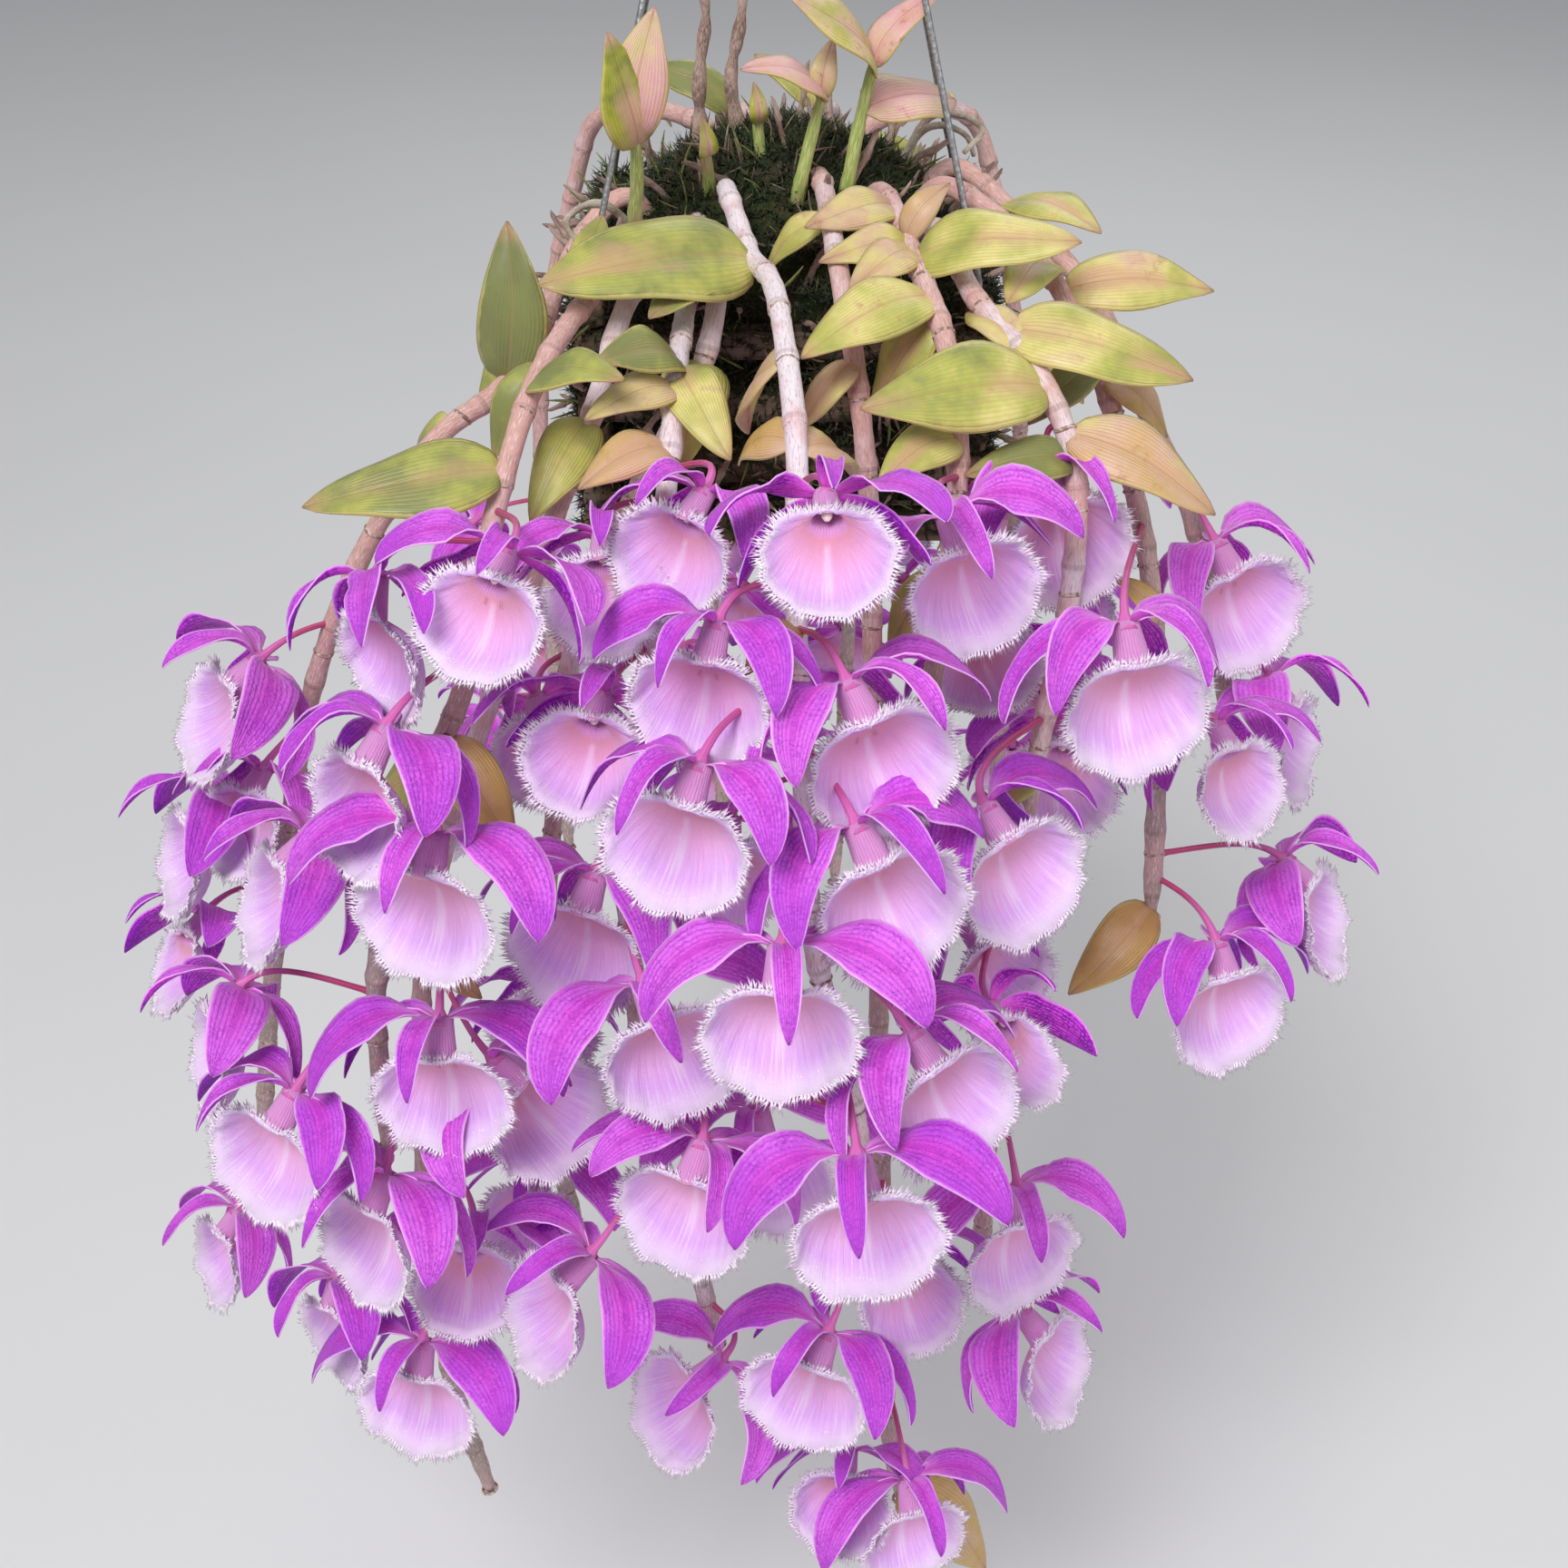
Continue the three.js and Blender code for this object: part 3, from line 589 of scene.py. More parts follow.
@dataclass(frozen=True)
class CaneFinish:
    """Cane skin: papery white sheaths above, fibrous grey-brown ones below, dark at the nodes."""

    name: str = "cane_sheath"
    paper: Place = (0.94, 0.83, 0.88)
    tan: Place = (0.74, 0.43, 0.37)
    fibre: Place = (0.44, 0.34, 0.31)
    streak: Place = (0.30, 0.20, 0.17)
    scar: Place = (0.22, 0.12, 0.08)
    flush: Place = (0.76, 0.42, 0.42)

    def material(self) -> Material:
        """Makes the finish.

        Returns:
            Its material.
        """
        s = Shader(self.name, Specular_IOR_Level=0.4, Coat_Roughness=0.3)
        u, v = s.uv()
        fibres = s.noise(s.rolled(u, v, 1.2), 7.0, 6.0, 0.65)
        cloud = s.cloud(70.0, 3.0)
        down = s.attribute("along")
        paper = s.attribute("tone") + (cloud - 0.5) * 0.9 - down.rise(0.35, 0.8) * 0.35
        colour = s.mix(down.rise(0.3, 0.8), self.tan, self.fibre)
        colour = s.mix(s.cloud(35.0, 2.0).rise(0.5, 0.7) * 0.5, colour, self.flush)
        colour = s.mix(paper.rise(0.34, 0.80), colour, self.paper)
        colour = s.mix(fibres.rise(0.5, 0.66) * (0.4 + down * 0.35), colour, self.streak)
        colour = s.mix(fibres.fall(0.36, 0.46) * 0.55, colour, self.paper)
        near = (v.fold(0.5) * 20.0).fall(0.35, 1.0)
        colour = s.mix(near * 0.3, colour, self.scar)
        blush = s.cloud(130.0, 2.0).rise(0.5, 0.72) * 0.5
        colour = s.mix(blush, colour, self.flush)
        return s.finish(colour, 0.42 + fibres * 0.3, fibres * 0.8 + near * 0.4, 0.0004)


@dataclass(frozen=True)
class ScarFinish:
    """The dry rings at the nodes of a cane."""

    name: str = "node_ring"
    dark: Place = (0.27, 0.16, 0.12)
    dry: Place = (0.66, 0.52, 0.46)

    def material(self) -> Material:
        """Makes the finish.

        Returns:
            Its material.
        """
        s = Shader(self.name, Specular_IOR_Level=0.3)
        cloud = s.cloud(900.0, 4.0)
        return s.finish(
            s.mix(cloud.rise(0.4, 0.62), self.dark, self.dry), 0.6 + cloud * 0.2, cloud, 0.0003,
        )


@dataclass(frozen=True)
class LeafFinish:
    """Leaf skin, from deep green through lime and dusty pink to burnt orange as its tone rises."""

    name: str = "leaf_skin"
    deep: Place = (0.028, 0.070, 0.008)
    green: Place = (0.10, 0.155, 0.014)
    lime: Place = (0.47, 0.48, 0.055)
    straw: Place = (0.90, 0.76, 0.26)
    pink: Place = (0.82, 0.44, 0.40)
    gold: Place = (0.72, 0.36, 0.09)
    burnt: Place = (0.50, 0.17, 0.035)
    flush: Place = (0.72, 0.33, 0.24)
    margin: Place = (0.80, 0.66, 0.22)
    stain: Place = (0.42, 0.10, 0.07)
    back: float = 0.0

    def material(self) -> Material:
        """Makes the finish.

        Returns:
            Its material.
        """
        s = Shader(
            self.name, Specular_IOR_Level=0.4, Subsurface_Weight=0.06, Coat_Weight=0.08,
            Coat_Roughness=0.3, Subsurface_Radius=(0.5, 0.8, 0.2), Subsurface_Scale=0.001,
        )
        u, v = s.uv()
        aside = abs(u - 0.5) * 2.0
        cloud = s.cloud(75.0, 3.0)
        fine = s.cloud(420.0, 3.0)
        age = s.attribute("tone")
        wide = s.cloud(24.0, 2.0)
        tone = age + (cloud - 0.5) * 0.6 + (wide - 0.5) * 0.5 + (fine - 0.5) * 0.14
        colour = tone.ramp(
            (0.0, self.deep), (0.2, self.green), (0.36, self.lime), (0.5, self.straw),
            (0.62, self.pink), (0.8, self.gold), (1.0, self.burnt),
        )
        veins = ((u * 19.0 + (fine - 0.5) * 0.35).fold(0.5) * 2.0).fall(0.1, 0.6)
        colour = s.mix(veins * (0.02 + fine * 0.34), colour, self.green)
        middle = aside.fall(0.01, 0.05)
        spread = (aside + (cloud - 0.5) * 1.4).fall(0.1, 0.55)
        ripe = s.cloud(38.0, 2.0).rise(0.38, 0.58) * age.rise(0.12, 0.45)
        colour = s.mix(spread * ripe * 0.85, colour, self.flush)
        colour = s.mix(middle * 0.32, colour, self.stain)
        edge = (aside + (fine - 0.5) * 0.15).rise(0.84, 0.97)
        colour = s.mix(edge * 0.65, colour, self.margin)
        colour = s.mix((v + (cloud - 0.5) * 0.2).rise(0.82, 1.0) * 0.7, colour, self.flush)
        blotch = s.cloud(150.0, 5.0, 0.7)
        colour = s.mix(blotch.rise(0.58, 0.7) * age.rise(0.2, 0.5) * 0.6, colour, self.stain)
        colour = s.mix(self.back, colour, (0.55, 0.52, 0.22))
        return s.finish(
            colour, 0.30 + fine * 0.16, 0.5 - veins * 0.25 - middle * 0.6 + fine * 0.3, 0.0003,
        )


@dataclass(frozen=True)
class ShootFinish:
    """The green skin of a young stem, with pale sheath lines."""

    name: str = "shoot_skin"
    green: Place = (0.30, 0.42, 0.09)
    pale: Place = (0.62, 0.64, 0.26)
    flush: Place = (0.62, 0.30, 0.28)

    def material(self) -> Material:
        """Makes the finish.

        Returns:
            Its material.
        """
        s = Shader(self.name, Specular_IOR_Level=0.45)
        u, v = s.uv()
        fibres = s.noise(s.rolled(u, v, 0.6), 6.0, 4.0)
        cloud = s.cloud(110.0, 3.0)
        colour = s.mix(fibres.rise(0.4, 0.65), self.green, self.pale)
        colour = s.mix(cloud.rise(0.5, 0.72) * 0.5, colour, self.flush)
        return s.finish(colour, 0.4 + fibres * 0.15, fibres, 0.00025)


@dataclass(frozen=True)
class BarkFinish:
    """Dry skin of old stems and roots: fibrous, with pale and dark streaks."""

    name: str
    pale: Place
    dark: Place

    def material(self) -> Material:
        """Makes the finish.

        Returns:
            Its material.
        """
        s = Shader(self.name, Specular_IOR_Level=0.25)
        u, v = s.uv()
        fibres = s.noise(s.rolled(u, v, 1.5), 5.0, 6.0, 0.7)
        cloud = s.cloud(140.0, 4.0)
        colour = s.mix((fibres * 0.6 + cloud * 0.4).rise(0.38, 0.6), self.dark, self.pale)
        return s.finish(colour, 0.7 + cloud * 0.15, fibres * 0.7 + cloud * 0.3, 0.0006)


@dataclass(frozen=True)
class MossFinish:
    """Moss, dark and damp below, with brown and pale tips."""

    name: str = "moss_frond"
    dark: Place = (0.006, 0.009, 0.003)
    green: Place = (0.020, 0.034, 0.008)
    tip: Place = (0.058, 0.070, 0.017)
    brown: Place = (0.095, 0.060, 0.032)

    def material(self) -> Material:
        """Makes the finish.

        Returns:
            Its material.
        """
        s = Shader(self.name, Specular_IOR_Level=0.2, Sheen_Weight=0.1)
        cloud = s.cloud(60.0, 4.0)
        fine = s.cloud(900.0, 3.0)
        colour = (cloud * 0.6 + fine * 0.4).ramp(
            (0.3, self.dark), (0.48, self.green), (0.7, self.tip),
        )
        colour = s.mix(s.cloud(150.0, 3.0).rise(0.52, 0.66) * 0.75, colour, self.brown)
        return s.finish(colour, 0.8 + fine * 0.15, fine, 0.0008)


@dataclass(frozen=True)
class WoodFinish:
    """Weathered, damp basket wood with grain along one axis."""

    name: str
    along_x: bool
    dark: Place = (0.055, 0.032, 0.018)
    brown: Place = (0.20, 0.125, 0.07)
    grey: Place = (0.26, 0.22, 0.17)
    algae: Place = (0.07, 0.10, 0.03)

    def material(self) -> Material:
        """Makes the finish.

        Returns:
            Its material.
        """
        s = Shader(self.name, Specular_IOR_Level=0.3)
        stretch = (14.0, 330.0, 330.0) if self.along_x else (330.0, 14.0, 330.0)
        grain = s.noise(s.place(stretch), 1.0, 6.0, 0.62)
        pores = s.noise(s.place(tuple(4.0 * k for k in stretch)), 1.0, 2.0)
        cloud = s.cloud(55.0, 4.0)
        colour = s.mix(grain.rise(0.36, 0.62), self.dark, self.brown)
        colour = s.mix(cloud.rise(0.42, 0.7) * 0.6, colour, self.grey)
        colour = s.mix(s.cloud(95.0, 3.0).rise(0.52, 0.68) * 0.7, colour, self.algae)
        return s.finish(colour, 0.68 + grain * 0.2, grain * 0.7 + pores * 0.3, 0.0007)


@dataclass(frozen=True)
class WireFinish:
    """Dull galvanised wire with grey spangles and a few rust specks."""

    name: str = "galvanised_wire"
    bright: Place = (0.52, 0.53, 0.54)
    dull: Place = (0.26, 0.27, 0.28)
    rust: Place = (0.20, 0.075, 0.03)

    def material(self) -> Material:
        """Makes the finish.

        Returns:
            Its material.
        """
        s = Shader(self.name)
        spangle = s.cells(900.0, "F1").rise(0.1, 0.8)
        cloud = s.cloud(260.0, 4.0)
        rust = s.cloud(420.0, 4.0, 0.7).rise(0.62, 0.7)
        colour = s.mix(spangle * 0.7 + cloud * 0.3, self.bright, self.dull)
        colour = s.mix(rust * 0.8, colour, self.rust)
        s.put(s.surface.inputs["Metallic"], 0.9 - rust * 0.8)
        return s.finish(
            colour, 0.36 + cloud * 0.2 + rust * 0.3, spangle * 0.4 + rust * 0.6, 0.00012,
        )


# --- meshes


class Draft:
    """A mesh in the making: corners with their tone and share along, and faces with UV places."""

    def __init__(self) -> None:
        """Starts empty."""
        self.places: list[Vector] = []
        self.tones: list[float] = []
        self.alongs: list[float] = []
        self.faces: list[tuple[int, ...]] = []
        self.uvs: list[Spot] = []
        self.slots: list[int] = []

    def grid(
        self, rows: Sequence[Line], vs: Sequence[float] | None = None, tone: float = 0.0,
        slot: int = 0, closed: bool = False, alongs: Sequence[float] | None = None,
    ) -> None:
        """Adds a sheet of quads.

        Args:
            rows: the corners, one list for each step along.
            vs: V of each row, if the rows aren't evenly spread.
            tone: a number that the finish reads.
            slot: the number of the material.
            closed: whether each row closes round.
            alongs: the share along of each row, if it isn't V.
        """
        first = len(self.places)
        width = len(rows[0])
        vs = vs or evenly(len(rows) - 1)
        us = evenly(width if closed else width - 1)
        for row, along in zip(rows, alongs or vs):
            self.places.extend(row)
            self.tones.extend([tone] * width)
            self.alongs.extend([along] * width)
        for j in range(len(rows) - 1):
            for i in range(width if closed else width - 1):
                k = (i + 1) % width
                low, high = first + j * width, first + (j + 1) * width
                self.faces.append((low + i, low + k, high + k, high + i))
                spots = ((i, j), (i + 1, j), (i + 1, j + 1), (i, j + 1))
                self.uvs.extend((us[a], vs[b]) for a, b in spots)
                self.slots.append(slot)

    def cap(self, row: Sequence[int], v: float, slot: int = 0) -> None:
        """Closes a round row with one face."""
        self.faces.append(tuple(row))
        self.uvs.extend([(0.5, v)] * len(row))
        self.slots.append(slot)

    def tube(
        self, rows: Sequence[Line], vs: Sequence[float] | None = None, tone: float = 0.0,
        slot: int = 0, alongs: Sequence[float] | None = None,
    ) -> None:
        """Adds a round skin, closed at both ends.

        Args:
            rows: the corners, one ring for each step along.
            vs: V of each ring, if the rings aren't evenly spread.
            tone: a number that the finish reads.
            slot: the number of the material.
            alongs: the share along of each ring, if it isn't V.
        """
        first, sides = len(self.places), len(rows[0])
        last = first + (len(rows) - 1) * sides
        vs = vs or evenly(len(rows) - 1)
        self.grid(rows, vs, tone, slot, True, alongs)
        self.cap(range(first + sides - 1, first - 1, -1), vs[0], slot)
        self.cap(range(last, last + sides), vs[-1], slot)

    def sweep(
        self, points: Line, radii: Sequence[float], vs: Sequence[float] | None = None,
        sides: int = 10, tone: float = 0.0, slot: int = 0, alongs: Sequence[float] | None = None,
    ) -> None:
        """Adds a round stem along points, closed at both ends.

        Args:
            points: its middle line.
            radii: its radius at each point.
            vs: V at each point, if the points aren't evenly spread.
            sides: how many sides it has.
            tone: a number that the finish reads.
            slot: the number of the material.
            alongs: the share along of each point, if it isn't V.
        """
        rows = []
        across = None
        for i, point in enumerate(points):
            ahead = (points[min(i + 1, len(points) - 1)] - points[max(i - 1, 0)]).normalized()
            if across is None:
                across = ahead.orthogonal().normalized()
            across = (across - ahead * across.dot(ahead)).normalized()
            other = ahead.cross(across)
            turns = [math.tau * k / sides for k in range(sides)]
            ways = [across * math.cos(turn) + other * math.sin(turn) for turn in turns]
            rows.append([point + way * radii[i] for way in ways])
        self.tube(rows, vs, tone, slot, alongs)

    def wire(self, points: Line, radius: float) -> None:
        """Adds a round wire with rounded ends."""
        ends = radius * 0.6
        self.sweep(points, [ends, *[radius] * (len(points) - 2), ends], sides=12)

    def object(self, name: str, materials: Iterable[Material]) -> Object:
        """Makes the object, with its place in its mesh.

        Args:
            name: its name.
            materials: its finishes, in the order of their slots.

        Returns:
            The object.
        """
        mesh = bpy.data.meshes.new(name)
        mesh.from_pydata([tuple(p) for p in self.places], [], self.faces)
        layer = mesh.uv_layers.new(name="UVMap")
        layer.data.foreach_set("uv", [c for spot in self.uvs for c in spot])
        for title, values in (("tone", self.tones), ("along", self.alongs)):
            mesh.attributes.new(title, "FLOAT", "POINT").data.foreach_set("value", values)
        for material in materials:
            mesh.materials.append(material)
        mesh.polygons.foreach_set("material_index", self.slots)
        mesh.shade_smooth()
        mesh.validate()
        return link(name, mesh)


def settle(piece: Object) -> Object:
    """Turns a piece's modifiers into plain mesh.

    Args:
        piece: the piece.

    Returns:
        The same piece.
    """
    graph = bpy.context.evaluated_depsgraph_get()
    made = bpy.data.meshes.new_from_object(
        piece.evaluated_get(graph), preserve_all_data_layers=True, depsgraph=graph,
    )
    made.name = piece.name
    piece.modifiers.clear()
    piece.data = made
    return piece


def thicken(piece: Object, thickness: float, other_side: int = 0) -> Object:
    """Gives a sheet its thickness, and its far side another material.

    Args:
        piece: the piece.
        thickness: how thick it becomes.
        other_side: how many slots further the far side's finish is.

    Returns:
        The same piece.
    """
    wall = piece.modifiers.new("wall", "SOLIDIFY")
    wall.thickness = thickness
    wall.offset = -1.0
    wall.use_rim = True
    wall.material_offset = other_side
    return settle(piece)


def join(first: Object, second: Object) -> Object:
    """Makes two pieces one.

    Args:
        first: the piece that stays.
        second: the piece that goes into it.

    Returns:
        The first piece.
    """
    with bpy.context.temp_override(
        active_object=first, object=first, selected_editable_objects=[first, second],
    ):
        bpy.ops.object.join()
    return first


def place_piece(piece: Object, slot: str, *nodes: str) -> None:
    """Lets a finished piece ride on the plant and stand for CAD nodes.

    Args:
        piece: the piece.
        slot: the record's slot; not used.
        nodes: the CAD nodes that it stands for.
    """
    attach(piece, "root")
    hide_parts(*nodes)
    triangles = sum(len(p.vertices) - 2 for p in piece.data.polygons)
    log.info("%s: %d triangles", piece.name, triangles)


# --- repeated shapes


class Kind(Enum):
    """The kinds of socket that a recipe takes."""

    NUMBER = "NodeSocketFloat"
    WHOLE = "NodeSocketInt"
    OBJECT = "NodeSocketObject"
    MATERIAL = "NodeSocketMaterial"


class Recipe(Tree):
    """A Geometry Nodes tree that sets one shape many times along a path or over a surface."""

    title = "recipe"
    sizes: dict[str, Kind] = {}

    def __init__(self) -> None:
        """Makes the tree with its named inputs."""
        group = bpy.data.node_groups.new(self.title, "GeometryNodeTree")
        super().__init__(group)
        group.interface.new_socket("Geometry", in_out="INPUT", socket_type="NodeSocketGeometry")
        group.interface.new_socket("Geometry", in_out="OUTPUT", socket_type="NodeSocketGeometry")
        every = {**self.sizes, "Shape": Kind.OBJECT, "Seed": Kind.WHOLE, "Finish": Kind.MATERIAL}
        self.names = {
            title: group.interface.new_socket(
                title, in_out="INPUT", socket_type=kind.value,
            ).identifier
            for title, kind in every.items()
        }
        self.given = self.node("NodeGroupInput", {}, {}).outputs
        shape = self.out("GeometryNodeObjectInfo", {}, {"Object": self.given["Shape"]}, "Geometry")
        made = self.lay(self.given["Geometry"], shape)
        made = self.out("GeometryNodeRealizeInstances", {}, {0: made})
        made = self.out(
            "GeometryNodeSetMaterial", {}, {"Geometry": made, "Material": self.given["Finish"]},
        )
        self.node("NodeGroupOutput", {}, {0: made})

    def lay(self, seat: NodeSocket, shape: NodeSocket) -> NodeSocket:
        """Sets the shape over the seat, in each recipe's own way."""
        raise NotImplementedError

    def chance(self, low: Any, high: Any, salt: int, vector: bool = False) -> NodeSocket:
        """A random number or vector for each place, between two values.

        Args:
            low: the least value.
            high: the greatest value.
            salt: what keeps this draw apart from others.
            vector: whether it is a vector.

        Returns:
            The number or vector.
        """
        kind = "FLOAT_VECTOR" if vector else "FLOAT"
        node = self.nodes.nodes.new("FunctionNodeRandomValue")
        node.data_type = kind
        sockets = [s for s in node.inputs if s.enabled and s.name in ("Min", "Max")]
        self.put(sockets[0], low)
        self.put(sockets[1], high)
        seed = Value(self, self.given["Seed"]) + float(salt)
        self.put(node.inputs["Seed"], seed)
        return next(s for s in node.outputs if s.enabled)

    def size(self, salt: int) -> NodeSocket:
        """A random size for each place, from the least to the most."""
        return self.chance(self.given["Least"], self.given["Most"], salt)

    def carried(self, name: str) -> NodeSocket:
        """A vector that the seat carries."""
        return self.out(
            "GeometryNodeInputNamedAttribute", {"data_type": "FLOAT_VECTOR"}, {"Name": name},
        )

    def facing(
        self, axis: str, vector: Any, rotation: Any = None, pivot: str = "AUTO",
    ) -> NodeSocket:
        """A rotation that turns an axis to a vector.

        Args:
            axis: the axis.
            vector: the vector.
            rotation: the rotation that is turned further, if there is one.
            pivot: the axis that it may turn about.

        Returns:
            The rotation.
        """
        settings, inputs = {"axis": axis, "pivot_axis": pivot}, {"Vector": vector}
        if rotation is not None:
            inputs["Rotation"] = rotation
        return self.out("FunctionNodeAlignRotationToVector", settings, inputs)

    def turned(self, rotation: Any, euler: Any) -> NodeSocket:
        """A rotation turned again in its own frame."""
        turn = self.out("FunctionNodeEulerToRotation", {}, {0: euler})
        return self.out(
            "FunctionNodeRotateRotation", {"rotation_space": "LOCAL"}, {0: rotation, 1: turn},
        )

    def tossed(self, rotation: Any, reach: Place, share: NodeSocket) -> NodeSocket:
        """A rotation turned again at random.

        Args:
            rotation: the rotation.
            reach: the furthest turn about each axis, in radians.
            share: the share of the reach that is used.

        Returns:
            The new rotation.
        """
        around = self.chance(tuple(-turn for turn in reach), reach, 1, True)
        inputs = {"Vector": around, "Scale": share}
        return self.turned(
            rotation, self.out("ShaderNodeVectorMath", {"operation": "SCALE"}, inputs),
        )

    def steps(self, seat: NodeSocket) -> NodeSocket:
        """The edges of the seat as curves, sampled at the spacing."""
        curve = self.out("GeometryNodeMeshToCurve", {}, {"Mesh": seat})
        inputs = {"Curve": curve, "Length": self.given["Spacing"]}
        return self.out("GeometryNodeResampleCurve", {"mode": "LENGTH"}, inputs)

    def copies(self, points: NodeSocket, shape: NodeSocket, turn: Any, size: Any) -> NodeSocket:
        """The shape at each of the points."""
        inputs = {"Points": points, "Instance": shape, "Rotation": turn, "Scale": size}
        return self.out("GeometryNodeInstanceOnPoints", {}, inputs)

    def grow(
        self, seat: Object, name: str, shape: Object, finish: Material, seed: int, **sizes: float
    ) -> Object:
        """Runs the recipe on a seat, and leaves its result in the seat's object.

        Args:
            seat: the mesh that the shapes are set on.
            name: the new piece's name.
            shape: the shape that is set.
            finish: its material.
            seed: the seed of what is random.
            sizes: the recipe's sizes.

        Returns:
            The piece, as plain mesh.
        """
        seat.name = name
        modifier = seat.modifiers.new(self.title, "NODES")
        modifier.node_group = self.nodes
        for title, value in {**sizes, "Shape": shape, "Seed": seed, "Finish": finish}.items():
            modifier[self.names[title]] = value
        return settle(seat)


class FringeRecipe(Recipe):
    """Teeth along the rims of lips. A rim carries the way out and the way that it faces."""

    title = "fringe"
    sizes = {
        "Spacing": Kind.NUMBER, "Least": Kind.NUMBER, "Most": Kind.NUMBER, "Splay": Kind.NUMBER,
    }

    def lay(self, seat: NodeSocket, shape: NodeSocket) -> NodeSocket:
        """Sets a tooth at each step of the rims.

        Args:
            seat: what the shape is set on.
            shape: the shape that is set.

        Returns:
            The rims with their teeth.
        """
        rims = self.steps(seat)
        turn = self.facing("Z", self.carried("outward"))
        turn = self.facing("Y", self.carried("facing"), turn, "Z")
        turn = self.tossed(turn, (1.0, 1.0, 1.0), self.given["Splay"])
        long = self.size(2)
        wide = self.chance(0.85, 1.5, 3)
        size = self.out("ShaderNodeCombineXYZ", {}, {0: wide, 1: wide, 2: long})
        return self.copies(rims, shape, turn, size)


class RingRecipe(Recipe):
    """Rings along a path, one at each node of a cane."""

    title = "node_rings"
    sizes = {"Spacing": Kind.NUMBER, "Least": Kind.NUMBER, "Most": Kind.NUMBER}

    def lay(self, seat: NodeSocket, shape: NodeSocket) -> NodeSocket:
        """Sets a ring square to the path at each step.

        Args:
            seat: what the shape is set on.
            shape: the shape that is set.

        Returns:
            The rings.
        """
        path = self.steps(seat)
        turn = self.facing("Z", self.out("GeometryNodeInputTangent", {}, {}))
        turn = self.turned(turn, self.chance((-0.12, -0.12, -3.0), (0.12, 0.12, 3.0), 1, True))
        return self.copies(path, shape, turn, self.size(2))


class FrondRecipe(Recipe):
    """Fronds scattered over a surface, leaning every way."""

    title = "moss_fronds"
    sizes = {"Density": Kind.NUMBER, "Least": Kind.NUMBER, "Most": Kind.NUMBER, "Lean": Kind.NUMBER}

    def lay(self, seat: NodeSocket, shape: NodeSocket) -> NodeSocket:
        """Scatters the shape over the faces.

        Args:
            seat: what the shape is set on.
            shape: the shape that is set.

        Returns:
            The sown shapes.
        """
        inputs = {"Mesh": seat, "Density": self.given["Density"], "Seed": self.given["Seed"]}
        spread = self.node("GeometryNodeDistributePointsOnFaces", {}, inputs).outputs
        turn = self.tossed(spread["Rotation"], (1.0, 1.0, 4.0), self.given["Lean"])
        return self.copies(spread["Points"], shape, turn, self.size(2))


# --- paths


class Path:
    """A smooth path through points, sampled at even steps."""

    def __init__(self, points: Line, steps: int = 160) -> None:
        """Draws a centripetal curve through the points.

        Args:
            points: the points, in order.
            steps: how many steps the samples take.
        """
        spans = [self.span(points, i) for i in range(len(points) - 1)]
        dense = [p for span in spans for p in span] + [points[-1].copy()]
        reach = [0.0]
        for a, b in zip(dense, dense[1:]):
            reach.append(reach[-1] + (b - a).length)
        self.length = reach[-1]
        self.points = []
        k = 0
        for i in range(steps + 1):
            want = self.length * i / steps
            while k < len(dense) - 2 and reach[k + 1] < want:
                k += 1
            share = (want - reach[k]) / max(reach[k + 1] - reach[k], 1e-9)
            self.points.append(dense[k].lerp(dense[k + 1], min(share, 1.0)))

    @staticmethod
    def span(points: Line, i: int, pieces: int = 14) -> list[Vector]:
        """The curve between one point and the next, without its end.

        Args:
            points: the points, in order.
            i: the number of the first point.
            pieces: how many pieces the stretch is cut into.

        Returns:
            The places along it.
        """
        b, c = points[i], points[i + 1]
        a = points[i - 1] if i else b * 2 - c
        d = points[i + 2] if i + 2 < len(points) else c * 2 - b
        t0, t1, t2 = ((q - p).length ** 0.5 for p, q in ((a, b), (b, c), (c, d)))
        m1 = ((b - a) / t0 - (c - a) / (t0 + t1) + (c - b) / t1) * t1
        m2 = ((c - b) / t1 - (d - b) / (t1 + t2) + (d - c) / t2) * t1
        made = []
        for k in range(pieces):
            t = k / pieces
            h = (2 * t**3 - 3 * t**2 + 1, t**3 - 2 * t**2 + t, -2 * t**3 + 3 * t**2, t**3 - t**2)
            made.append(b * h[0] + m1 * h[1] + c * h[2] + m2 * h[3])
        return made

    def stations(self, step: float, least: int) -> tuple[list[float], list[Vector]]:
        """Shares of the length and their places, at steps of about one size.

        Args:
            step: the size of a step.
            least: the fewest steps that are taken.

        Returns:
            The shares, and the places.
        """
        shares = evenly(max(int(self.length / step), least))
        return shares, [self.at(share) for share in shares]

    def at(self, share: float) -> Vector:
        """The place at a share of the length."""
        spot = min(max(share, 0.0), 1.0) * (len(self.points) - 1)
        i = min(int(spot), len(self.points) - 2)
        return self.points[i].lerp(self.points[i + 1], spot - i)

    def nearest(self, target: Vector) -> Vector:
        """The place on the path that is nearest to a target."""
        return min(self.points, key=lambda p: (p - target).length_squared)

    def seen_on(self, u: float, v: float) -> Vector:
        """The place on the path that is seen nearest to a column and row.

        Args:
            u: the column.
            v: the row.

        Returns:
            The place on the path.
        """

        def off(place: Vector) -> float:
            """How far from the column and row a place is seen."""
            spot = VIEW.spot(place)
            return math.hypot(spot[0] - u, spot[1] - v)

        return min(self.points, key=off)


def bend(points: Line, share: float) -> Vector:
    """A place on the Bezier curve of three or four points.

    Args:
        points: the points, in order.
        share: the share of the way.

    Returns:
        The place.
    """
    points = list(points)
    while len(points) > 1:
        points = [a.lerp(b, share) for a, b in zip(points, points[1:])]
    return points[0]


# --- flowers


